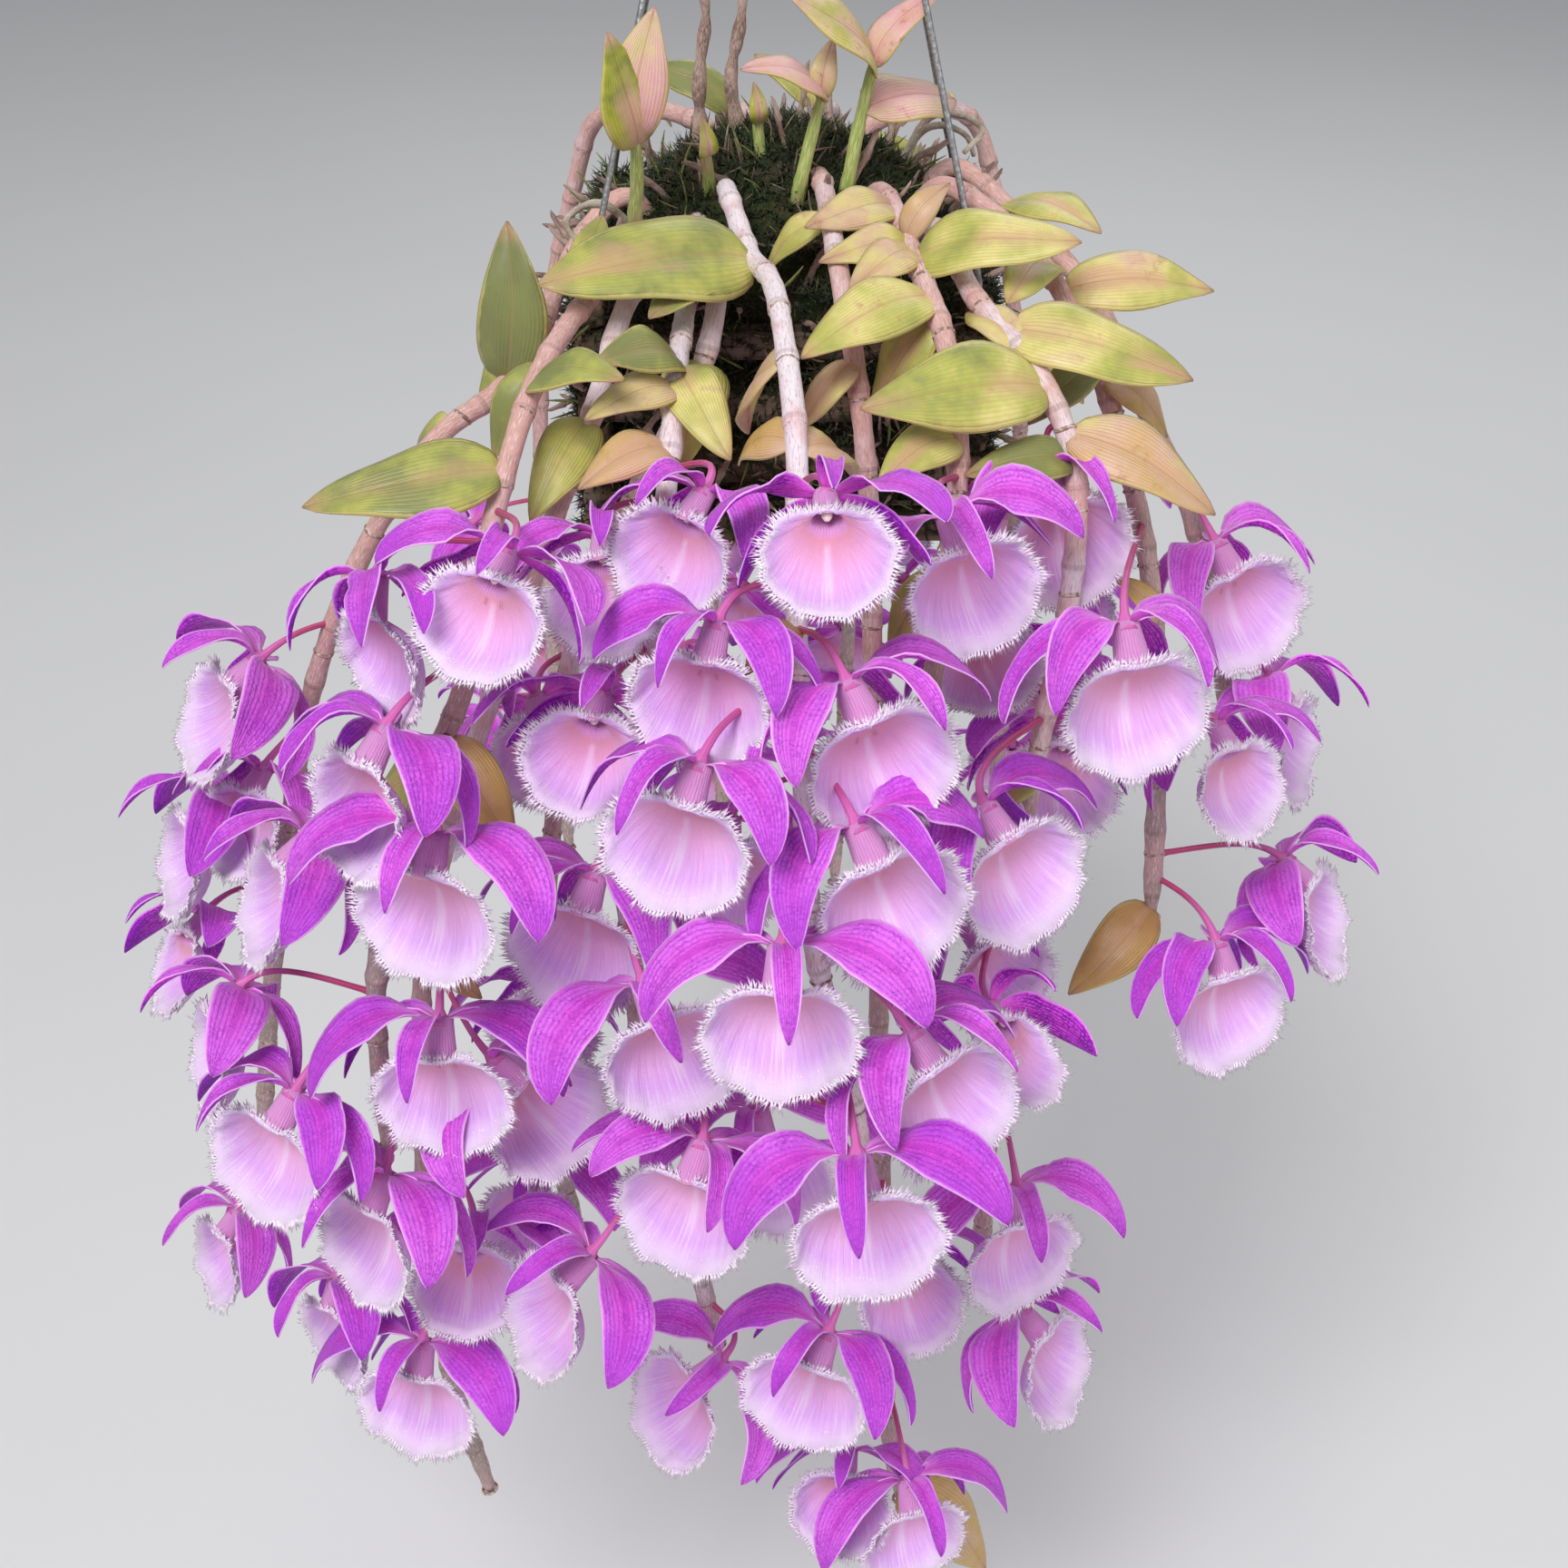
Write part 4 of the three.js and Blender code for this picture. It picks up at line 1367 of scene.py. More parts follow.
@dataclass(frozen=True)
class Bloom:
    """The place of one flower: its hub, the way its lip points, its open side and its size."""

    origin: Vector
    axis: Vector
    dorsal: Vector
    size: float
    spin: float = 0.0
    untwist: float = 0.0

    @property
    def star(self) -> Matrix:
        """From the frame of the tepals, which are turned about the axis, to the part's."""
        return self.matrix @ Matrix.Rotation(math.radians(self.spin), 4, "Z")

    @property
    def matrix(self) -> Matrix:
        """From the flower's own frame, in millimetres, to the part's."""
        side = self.dorsal.cross(self.axis)
        turn = Matrix((side, self.dorsal, self.axis)).transposed().to_4x4()
        return Matrix.Translation(self.origin) @ turn @ Matrix.Scale(self.size * MM, 4)


@dataclass(frozen=True)
class Tepal:
    """One tepal. Its midrib leaves the hub at an angle, and passes four stations.

    A station is a place out and a place ahead of the hub, in millimetres.
    """

    angle: float
    out: tuple[float, float, float, float]
    ahead: tuple[float, float, float, float]
    width: float
    twist: float
    sweep: float = 0.0
    cup: float = 1.2
    square: float = 2.2
    claw: float = 0.35
    mirror: bool = False

    def breadth(self, share: float) -> float:
        """The share of the full width there: a narrow claw, full sides and a blunt tip."""
        body = max(1 - abs(2 * share**0.9 - 1) ** self.square, 0.0) ** 0.7
        return body * min(1.0, self.claw + 2.2 * share)

    def sheet(self, chance: random.Random, steps: int = 14, ribs: int = 6) -> list[list[Vector]]:
        """The tepal's corners in the flower's frame.

        Args:
            chance: where its own shape comes from.
            steps: how many steps it has along.
            ribs: how many it has across.

        Returns:
            One row of corners for each step along.
        """
        angle = self.angle + chance.uniform(-8, 8)
        twist = math.radians(self.twist + chance.uniform(-16, 16))
        grow = chance.uniform(0.94, 1.04)
        wave = chance.uniform(0, math.tau)
        curl = chance.uniform(-1.4, 2.0)
        stations = [
            Vector((o * grow, a * grow + curl * (i == 3), 0))
            for i, (o, a) in enumerate(zip(self.out, self.ahead))
        ]

        def rib(share: float) -> Vector:
            """The midrib's place."""
            spot = bend(stations, share)
            turn = math.radians(angle + self.sweep * share * share)
            return Vector((spot.x * math.cos(turn), spot.x * math.sin(turn), spot.y))

        rows = []
        for j in range(steps + 1):
            share = 1 - (1 - j / steps) ** 1.35
            middle = rib(share)
            ahead = (rib(share + 0.02) - rib(share - 0.02)).normalized()
            turn = math.radians(angle + self.sweep * share * share)
            across = Vector((-math.sin(turn), math.cos(turn), 0))
            across = (across - ahead * across.dot(ahead)).normalized()
            up = ahead.cross(across)
            swing = twist * min(1.0, share * 2.2) ** 1.2
            c, s = math.cos(swing), math.sin(swing)
            across, up = across * c + up * s, up * c - across * s
            body = self.breadth(share)
            half = max(self.width / 2 * body, 0.45 if share < 0.5 else 0.2)
            row = []
            for i in range(ribs + 1):
                k = 2 * i / ribs - 1
                flutter = 0.7 * abs(k) ** 3 * math.sin(wave + share * 9 + k)
                lift = -self.cup * k * k * body + flutter * body
                lift -= 0.35 * max(0.0, 1 - abs(k) * 4) * body
                row.append(middle + across * (k * half) + up * lift)
            rows.append(row)
        if self.mirror:
            rows = [[Vector((-p.x, p.y, p.z)) for p in reversed(row)] for row in rows]
        return rows


@dataclass(frozen=True)
class Lip:
    """The lip: a short tube that opens into a deep scoop with a ruffled, fringed rim."""

    tube: float = 2.9
    mouth: float = 3.7
    tube_length: float = 8.6
    tube_share: float = 0.34
    half_width: float = 13.6
    depth: float = 8.6
    bulge: float = 2.6
    ruffle: float = 0.75
    around: int = 52
    along: int = 15

    def rim(self, turn: float, wave: float) -> Vector:
        """The place of the rim at a turn round the axis, with its lobes.

        Args:
            turn: the turn round the axis.
            wave: the phase of the ruffles.

        Returns:
            The place in the flower's frame.
        """
        c, s = math.cos(turn), math.sin(turn)
        lobes = 1 + 0.028 * math.sin(9 * turn + wave) + 0.022 * math.sin(17 * turn - 2 * wave)
        broad = math.copysign(abs(c) ** (1 - 0.24 * max(s, 0.0)), c)
        y, z = -1.9 + 5.9 * s - 0.5 * s * s, 17.9 - 10.1 * s + 0.8 * s * s
        rim = Vector((self.half_width * broad, y, z))
        middle = Vector((0.0, -2.4, 17.6))
        notch = 0.9 * math.exp(-((turn - math.pi / 2) * 5) ** 2)
        return middle + (rim - middle) * lobes + Vector((0.0, -0.3, 1.0)) * notch

    def point(self, turn: float, share: float, wave: float) -> Vector:
        """A place of the lip.

        Args:
            turn: the turn round the axis, a quarter turn being the open side.
            share: the share from the hub to the rim.
            wave: the phase of the ruffles.

        Returns:
            The place in the flower's frame.
        """
        c, s = math.cos(turn), math.sin(turn)
        if share < self.tube_share:
            k = share / self.tube_share
            radius = self.tube + (self.mouth - self.tube) * k**1.3
            x, y = radius * c * (1 + 0.1 * k), radius * s * 0.9 + 0.5 * k
            return Vector((x, y, -1.0 + (self.tube_length + 1.0) * k))
        k = (share - self.tube_share) / (1 - self.tube_share)
        start = Vector((self.mouth * c * 1.1, self.mouth * s * 0.9 + 0.5, self.tube_length))
        rim = self.rim(turn, wave)
        low = max((1 - s) / 2, 0.0) ** 0.6
        back = Vector((0.0, -0.86, -0.5)) * self.depth * low
        first = start.lerp(rim, 0.22) + back * 0.55 + Vector((0.8 * c, 0, 0))
        second = start.lerp(rim, 0.74) + back + Vector((self.bulge * c, 0, 0))
        place = bend((start, first, second, rim), k)
        out = Vector((c, 0.1, -s)) * (1.5 * k**7)
        ruffle = math.sin(6 * turn + wave) * k**3 + 0.55 * math.sin(13 * turn + 2 * wave) * k**4
        ruffle += 0.35 * math.sin(23 * turn + 3 * wave) * k**6
        push = self.ruffle * ruffle * (0.45 + 0.55 * low)
        return place + out + Vector((0.25 * c, 0.75, 0.45)) * push

    def rows(self, wave: float) -> list[list[Vector]]:
        """The lip's corners in the flower's frame.

        Args:
            wave: the phase of the ruffles.

        Returns:
            One ring of corners for each step along.
        """
        turns = [math.tau * i / self.around for i in range(self.around)]
        return [
            [self.point(turn, j / self.along, wave) for turn in turns]
            for j in range(self.along + 1)
        ]


@dataclass
class Flowers:
    """All the flowers of one cane: stalks, tepals, lips with their fringe, and columns."""

    name: str
    blooms: Sequence[Bloom]
    wall: float = 0.00035
    spacing: float = 0.00088
    shortest: float = 0.85
    longest: float = 1.9
    splay: float = 0.32
    fold_spin: float = 15.0
    lip: Lip = field(default_factory=Lip)
    petal: Tepal = Tepal(
        10, (1.6, 12, 24.5, 27.5), (-0.6, -4.0, 0.5, 14.5),
        width=13.4, twist=52, sweep=-4,
    )
    dorsal: Tepal = Tepal(
        90, (1.6, 11, 18.5, 18), (-0.6, -3.0, 3.0, 15.5),
        width=5.6, twist=0, cup=1.3, square=3.2, claw=0.7,
    )
    lateral: Tepal = Tepal(
        -34, (1.6, 11, 22, 27), (-1.0, -3.5, 0.5, 12.5),
        width=6.2, twist=34, sweep=6, cup=1.3, square=3.2, claw=0.7,
    )

    def tepals(self, bloom: Bloom) -> list[Tepal]:
        """The five tepals of a flower. The petal that turns to the front is folded narrower.

        Args:
            bloom: the flower.

        Returns:
            The tepals, the right petal first.
        """
        petal = replace(self.petal, twist=self.petal.twist - bloom.untwist)
        lateral = replace(self.lateral, twist=self.lateral.twist - bloom.untwist * 0.6)
        out = tuple(reach * 0.86 for reach in petal.out)
        folded = replace(petal, out=out, width=petal.width * 0.78, twist=petal.twist + 16)
        right = folded if bloom.spin > self.fold_spin else petal
        left = folded if bloom.spin < -self.fold_spin else petal
        mirrored = [replace(tepal, mirror=True) for tepal in (left, lateral)]
        return [right, mirrored[0], lateral, mirrored[1], self.dorsal]

    def build_tepals(self, dress: Wardrobe) -> Object:
        """The tepals of all the flowers.

        Args:
            dress: the finishes, small shapes and recipes.

        Returns:
            The piece.
        """
        draft = Draft()
        for number, bloom in enumerate(self.blooms):
            chance = random.Random(f"{self.name} {number}")
            tone = chance.uniform(0.0, 1.0)
            for tepal in self.tepals(bloom):
                rows = [[bloom.star @ p for p in row] for row in tepal.sheet(chance)]
                draft.grid(rows, tone=tone)
        piece = draft.object(f"tepals_{self.name}", [dress.tepal_inside, dress.tepal_outside])
        return thicken(piece, self.wall, 1)

    def build_lips(self, dress: Wardrobe) -> Object:
        """The lips of all the flowers, with columns and fringe.

        Args:
            dress: the finishes, small shapes and recipes.

        Returns:
            The piece.
        """
        draft = Draft()
        rims: list[Vector] = []
        ways: list[tuple[Vector, Vector]] = []
        edges: list[tuple[int, int]] = []
        for number, bloom in enumerate(self.blooms):
            chance = random.Random(f"lip {self.name} {number}")
            wave, tone = chance.uniform(0, math.tau), chance.uniform(0, 1)
            rows = [[bloom.matrix @ p for p in row] for row in self.lip.rows(wave)]
            count = self.lip.around
            draft.grid(rows, tone=tone, closed=True)
            centre = sum(rows[-1], Vector()) / count
            open_side = (rows[-1][0] - centre).cross(rows[-1][count // 4] - centre).normalized()
            if open_side.dot(bloom.dorsal + bloom.axis * 0.5) < 0:
                open_side.negate()
            for inner, rise in ((1, 0.1), (2, 0.9)):
                first = len(rims)
                for i in range(count):
                    edge, within = rows[-inner][i], rows[-inner - 1][i]
                    outward = (edge - within).normalized() * 0.4 + (edge - centre).normalized()
                    outward = (outward + open_side * rise).normalized()
                    chord = rows[-inner][(i + 1) % count] - rows[-inner][i - 1]
                    facing = chord.cross(outward).normalized()
                    rims.append(edge)
                    ways.append((outward, facing))
                    edges.append((first + i, first + (i + 1) % count))
        lips = thicken(draft.object(f"lips_{self.name}", [dress.lip]), self.wall)
        seat = thread("rims", rims, edges)
        for title, vectors in zip(("outward", "facing"), zip(*ways)):
            values = [c for vector in vectors for c in vector.normalized()]
            layer = seat.data.attributes.new(title, "FLOAT_VECTOR", "POINT")
            layer.data.foreach_set("vector", values)
        fringe = dress.fringe_recipe.grow(
            seat, "rims", dress.tooth, dress.fringe, 5, Spacing=self.spacing, Least=self.shortest,
            Most=self.longest, Splay=self.splay,
        )
        lips = join(lips, fringe)
        return join(lips, self.build_columns(dress))

    def build_columns(self, dress: Wardrobe) -> Object:
        """The column of each flower, low in its tube.

        Args:
            dress: the finishes, small shapes and recipes.

        Returns:
            The piece.
        """
        draft = Draft()
        for bloom in self.blooms:
            points = [
                bloom.matrix @ Vector((0, y, z))
                for y, z in ((0.9, 1.0), (1.0, 4.0), (1.1, 6.4), (0.7, 7.6), (0.2, 8.2))
            ]
            radii = [r * bloom.size * MM for r in (1.1, 1.2, 1.35, 1.2, 0.5)]
            draft.sweep(points, radii, (0.0, 0.3, 0.6, 0.8, 1.0), 8)
        return draft.object(f"columns_{self.name}", [dress.column])


@dataclass(frozen=True)
class Leaf:
    """One leaf: an ovate blade with a creased midrib, arched along its length."""

    base: Vector
    tip: Vector
    tone: float
    width: float = 0.48
    arch: float = 0.0042
    steps: int = 16
    ribs: int = 8

    def add(self, draft: Draft, chance: random.Random) -> None:
        """Adds the blade to a mesh.

        Args:
            draft: the mesh that it is added to.
            chance: where what is random comes from.
        """
        length = (self.tip - self.base).length
        along = (self.tip - self.base).normalized()
        face = SKY * 0.8 - VIEW.forward * 0.9
        across = face.cross(along).normalized()
        normal = along.cross(across)
        wave, side = chance.uniform(0, math.tau), chance.uniform(-0.05, 0.05)
        roll = math.radians(chance.uniform(-14, 14))
        rows = []
        for share in evenly(self.steps):
            belly = math.sin(math.pi * share)
            full = max(1 - abs(2 * share**0.75 - 1) ** 2.1, 0.0) ** 0.75
            shape = full * (1 - 0.35 * share * share)
            half = max(length * self.width / 2 * shape, 0.0006 * (1 - share) + 0.00012)
            arched = self.arch * math.sin(math.pi * share**0.8)
            middle = self.base + along * (share * length) + normal * arched
            middle += across * (side * length * belly)
            row = []
            for i in range(self.ribs + 1):
                k = 2 * i / self.ribs - 1
                lift = (abs(k) * 0.42 - 0.46 * k * k) * half + roll * k * half
                lift += 0.035 * length * math.sin(wave + share * 7 + k) * k * k * belly
                row.append(middle + across * (k * half) + normal * lift)
            rows.append(row)
        draft.grid(rows, tone=self.tone)


# --- canes


def leaf_seen(path: Path, u: float, v: float, tip: Place, tone: float) -> Leaf:
    """The leaf from its base on a stem to where its tip is seen.

    Args:
        path: the stem.
        u: the column of the base.
        v: the row of the base.
        tip: the column, the row and the depth of the tip.
        tone: its tone, from green at 0 to burnt orange at 1.

    Returns:
        The leaf.
    """
    return Leaf(path.seen_on(u, v), VIEW.seen(*tip), tone)


def bloom_seen(joint: Place, lip: Spot, yaw: float, spin: float = 0.0) -> Bloom:
    """The flower, from what is seen of it.

    Args:
        joint: the column, the row and the depth of its stalk's joint.
        lip: the column and the row of the middle of its lip.
        yaw: its heading, in degrees to the right of straight ahead.
        spin: how far its tepals are turned about its axis, in degrees.

    Returns:
        The flower's place.
    """
    origin = VIEW.seen(*joint)
    scale = VIEW.pitch_of(origin)
    across, down = (lip[0] - joint[0]) * scale, (lip[1] - joint[1]) * scale
    size = min(max(math.hypot(across, down) / LIP_REACH, SMALLEST), LARGEST)
    toward = math.sqrt(max((LIP_REACH * size) ** 2 - across**2 - down**2, 0.0))
    axis = (RIGHT * across - VIEW.upward * down - VIEW.forward * toward).normalized()
    heading = math.radians(yaw)
    dorsal = Vector((math.sin(heading) * 0.8, -math.cos(heading) * 0.8, 0.6))
    dorsal = (dorsal - axis * dorsal.dot(axis)).normalized()
    return Bloom(origin, axis, dorsal, size, spin, min(abs(yaw), 70) * 0.5)


@dataclass
class Cane:
    """A flowering cane: its stem with rings and stalks, its leaves and its flowers."""

    name: str
    path: Path
    leaves: Sequence[Leaf]
    blooms: Sequence[Bloom]
    paper: float = 0.5
    radius: float = 0.00265
    internode: float = 0.019
    step: float = 0.0021
    sides: int = 12
    blade: float = 0.0005
    rise: float = 0.012
    ovary: float = 0.010
    tip_share: float = 0.55
    tip_length: float = 0.012

    def radius_at(self, reach: float) -> float:
        """The stem's radius at a distance along it: a sheath that steps in just after each node.

        Args:
            reach: the distance along the stem.

        Returns:
            The radius.
        """
        step = (reach / self.internode) % 1.0
        swell = math.exp(-(min(step, 1 - step) * 9) ** 2)
        left = max(self.path.length - reach, 0.0)
        taper = self.tip_share + (1 - self.tip_share) * min(left / self.tip_length, 1.0)
        return self.radius * (0.95 + 0.13 * swell + 0.05 * step) * taper

    def build_stem(self, dress: Wardrobe) -> Object:
        """The stem with its sheaths, its node rings and the stalks of its flowers.

        Args:
            dress: the finishes, small shapes and recipes.

        Returns:
            The piece.
        """
        draft = Draft()
        chance = random.Random(f"stem {self.name}")
        shares, points = self.path.stations(self.step, 24)
        radii = []
        for share, point in zip(shares, points):
            rough = noise.noise(point * 260.0) * 0.07 + noise.noise(point * 70.0) * 0.05
            radii.append(self.radius_at(self.path.length * share) * (1 + rough))
        vs = [self.path.length * share / self.internode for share in shares]
        draft.sweep(points, radii, vs, self.sides, self.paper, 0, shares)
        for bloom in self.blooms:
            self.add_stalk(draft, bloom, chance)
        piece = draft.object(f"stem_{self.name}", [dress.cane, dress.stalk])
        spine = self.path.points
        seat = thread("spine", spine, [(i, i + 1) for i in range(len(spine) - 1)])
        rings = dress.ring_recipe.grow(
            seat, "spine", dress.ring, dress.scar, 3, Spacing=self.internode, Least=0.94, Most=1.04,
        )
        return join(piece, rings)

    def add_stalk(self, draft: Draft, bloom: Bloom, chance: random.Random) -> None:
        """Adds a flower's stalk, which swells into the ovary behind the hub.

        Args:
            draft: the mesh that it is added to.
            bloom: the flower that it carries.
            chance: where what is random comes from.
        """
        start = self.path.nearest(bloom.origin + SKY * self.rise)
        corner = bloom.origin - bloom.axis * self.ovary
        end = bloom.matrix @ Vector((0, 0.8, 1.2))
        sway = Vector([chance.uniform(-1.5, 1.5) * MM for _ in range(3)])
        controls = (start, start.lerp(corner, 0.62) + sway, corner, end)
        shares = evenly(16)
        points = [bend(controls, share) for share in shares]
        radii = [
            (0.8 + 0.55 * max(0.0, (s - 0.55) / 0.45) ** 1.5 + 0.5 * max(0.0, 1 - s * 14)) * MM
            for s in shares
        ]
        radii[-1], radii[-2] = 2.5 * MM * bloom.size, 1.9 * MM * bloom.size
        draft.sweep(points, radii, sides=8, slot=1)

    def build_leaves(self, dress: Wardrobe) -> Object:
        """The leaves, each with its base on the stem.

        Args:
            dress: the finishes, small shapes and recipes.

        Returns:
            The piece.
        """
        draft = Draft()
        chance = random.Random(f"leaves {self.name}")
        for leaf in self.leaves:
            leaf.add(draft, chance)
        return thicken(
            draft.object(f"leaves_{self.name}", [dress.leaf, dress.leaf_back]), self.blade, 1,
        )

    def build(self, dress: Wardrobe) -> None:
        """Builds and dresses the whole cane."""
        flowers = Flowers(self.name, self.blooms)
        for build in (self.build_stem, self.build_leaves, flowers.build_tepals, flowers.build_lips):
            place_piece(build(dress), "flowering_cane", self.name)


def rooted(track: Sequence[Place]) -> Path:
    """The path of a stem from its track, from inside the moss on.

    Args:
        track: the places where it is seen, from the moss on.

    Returns:
        The path.
    """
    points = [VIEW.seen(*place) for place in track]
    first = points[0]
    buried = Vector((first.x * BURIED_SHARE, first.y * BURIED_SHARE, MOSS_LEVEL - BURIED_DEPTH))
    return Path([buried, *points])


@dataclass(frozen=True)
class FrontCane:
    """A cane that the view shows: its track from the moss to its tip, its leaves and its flowers.

    A leaf's row gives the column and row of its base, the column, row and depth of its tip, and
    its tone. A flower's row gives the column, row and depth of its joint, the column and row of the
    middle of its lip, its heading and, where it has one, its spin.
    """

    name: str
    paper: float
    track: tuple[Place, ...]
    leaves: tuple[Row, ...]
    flowers: tuple[Row, ...]

    def cane(self) -> Cane:
        """The cane in the part's frame."""
        path = rooted(self.track)
        leaves = [leaf_seen(path, *row[:2], row[2:5], row[5]) for row in self.leaves]
        blooms = [bloom_seen(row[:3], row[3:5], *row[5:]) for row in self.flowers]
        return Cane(self.name, path, leaves, blooms, self.paper)


@dataclass(frozen=True)
class BackCane:
    """A cane on the side that the view doesn't reach, laid by rule.

    A leaf's row gives its node, how far its tip lies aside of it and above it in millimetres, and
    its tone.
    """

    name: str
    start: float
    heading: float
    lean: float
    reach: float
    first: float
    foot: float
    paper: float
    leaves: tuple[tuple[int, float, float, float], ...]
    rim: float = 0.0615
    neck: float = 0.014
    neck_height: float = -0.024
    belly: float = -0.090
    hip: float = -0.150
    tuck: float = 0.008
    spacing: float = 0.026
    stalk: float = 0.026
    nodes: int = 12
    leaf_out: float = 0.010
    turns: tuple[float, ...] = (-40.0, 14.0, 40.0, -14.0)

    def way(self, height: float, turn: float = 0.0) -> Vector:
        """The level way out that the cane has at a height, turned further by some degrees."""
        share = min(max(height / self.foot, 0.0), 1.0)
        angle = math.radians(self.heading + self.lean * share + turn)
        return Vector((math.cos(angle), math.sin(angle), 0.0))

    def path(self) -> Path:
        """Out over the rim, along the arch and down to the foot.

        Returns:
            The path.
        """
        way = self.way(0.0)
        rim = self.rim / max(abs(way.x), abs(way.y))
        stations = (
            (self.start * BURIED_SHARE, -BURIED_DEPTH), (self.start, 0.006), (rim, 0.001),
            (rim + self.neck, self.neck_height), (self.reach, self.belly), (self.reach, self.hip),
            (self.reach - self.tuck, self.foot),
        )
        return Path([self.way(high) * out + SKY * (high + MOSS_LEVEL) for out, high in stations])

    def blooms(self) -> list[Bloom]:
        """A flower at every node from the first one down, turned by its height.

        Returns:
            The flowers.
        """
        made = []
        height = self.first
        while height > self.foot:
            level = round((self.belly - height) / self.spacing)
            outward = self.way(height, self.turns[level % len(self.turns)])
            up = SKY * (height + MOSS_LEVEL)
            origin = self.way(height) * self.reach + outward * self.stalk + up
            made.append(Bloom(origin, outward * 0.6 - SKY * 0.8, outward * 0.8 + SKY * 0.6, 1.0))
            height -= self.spacing
        return made

    def cane(self) -> Cane:
        """The cane in the part's frame.

        Returns:
            The cane.
        """
        path = self.path()
        leaves = []
        for node, aside, rise, tone in self.leaves:
            base = path.at((node / self.nodes) ** 1.5)
            outward = Vector((base.x, base.y, 0)).normalized()
            tip = base + outward.cross(SKY) * (aside * MM) + outward * self.leaf_out + SKY * (
                rise * MM
            )
            leaves.append(Leaf(base, tip, tone))
        return Cane(self.name, path, leaves, self.blooms(), self.paper)


@dataclass(frozen=True)
class Shoot:
    """A young leafy shoot that rises from the moss."""

    name: str
    track: tuple[Place, ...]
    leaves: tuple[Row, ...]
    radius: float = 0.0019
    sheath: float = 0.014
    step: float = 0.002
    blade: float = 0.0006

    def build(self, dress: Wardrobe) -> None:
        """Builds and dresses the shoot.

        Args:
            dress: the finishes, small shapes and recipes.
        """
        draft, blades = Draft(), Draft()
        path = rooted(self.track)
        chance = random.Random(self.name)
        shares, points = path.stations(self.step, 12)
        vs = [path.length * share / self.sheath for share in shares]
        swells = [(1.0 + 0.16 * (v % 1.0)) * (1 - 0.35 * share**3) for v, share in zip(vs, shares)]
        draft.sweep(points, [self.radius * swell for swell in swells], vs, 10)
        stem = draft.object(f"{self.name}_growth", [dress.shoot])
        for row in self.leaves:
            leaf_seen(path, *row[:2], row[2:5], row[5]).add(blades, chance)
        leaves = thicken(
            blades.object("blades", [dress.young_leaf, dress.young_leaf]), self.blade, 1,
        )
        place_piece(join(stem, leaves), "new_shoot", self.name)


@dataclass(frozen=True)
class Twig:
    """A bare old stem or an aerial root."""

    name: str
    track: tuple[Place, ...]
    radius: float
    slot: str
    knots: float = 0.1
    step: float = 0.0015
    shake: float = 0.0006
    skin: float = 0.01

    def build(self, finish: Material) -> None:
        """Builds and dresses the twig.

        Args:
            finish: the finish of its skin.
        """
        path = rooted(self.track)
        draft = Draft()
        shares, middles = path.stations(self.step, 16)
        points, radii = [], []
        for share, point in zip(shares, middles):
            shake = Vector([noise.noise(point * 90.0 + RIGHT * k) for k in range(3)]) * self.shake
            points.append(point + shake * min(share * 6, 1.0))
            knots = self.knots * (abs(math.sin(path.length * share * 260)) - 0.5)
            rough = 1 + 0.22 * noise.noise(point * 320.0) + knots
            radii.append(self.radius * rough * (1 - 0.5 * share**2))
        draft.sweep(points, radii, [path.length * share / self.skin for share in shares], 10)
        place_piece(draft.object(f"{self.name}_growth", [finish]), self.slot, self.name)


# --- basket, moss and hanger


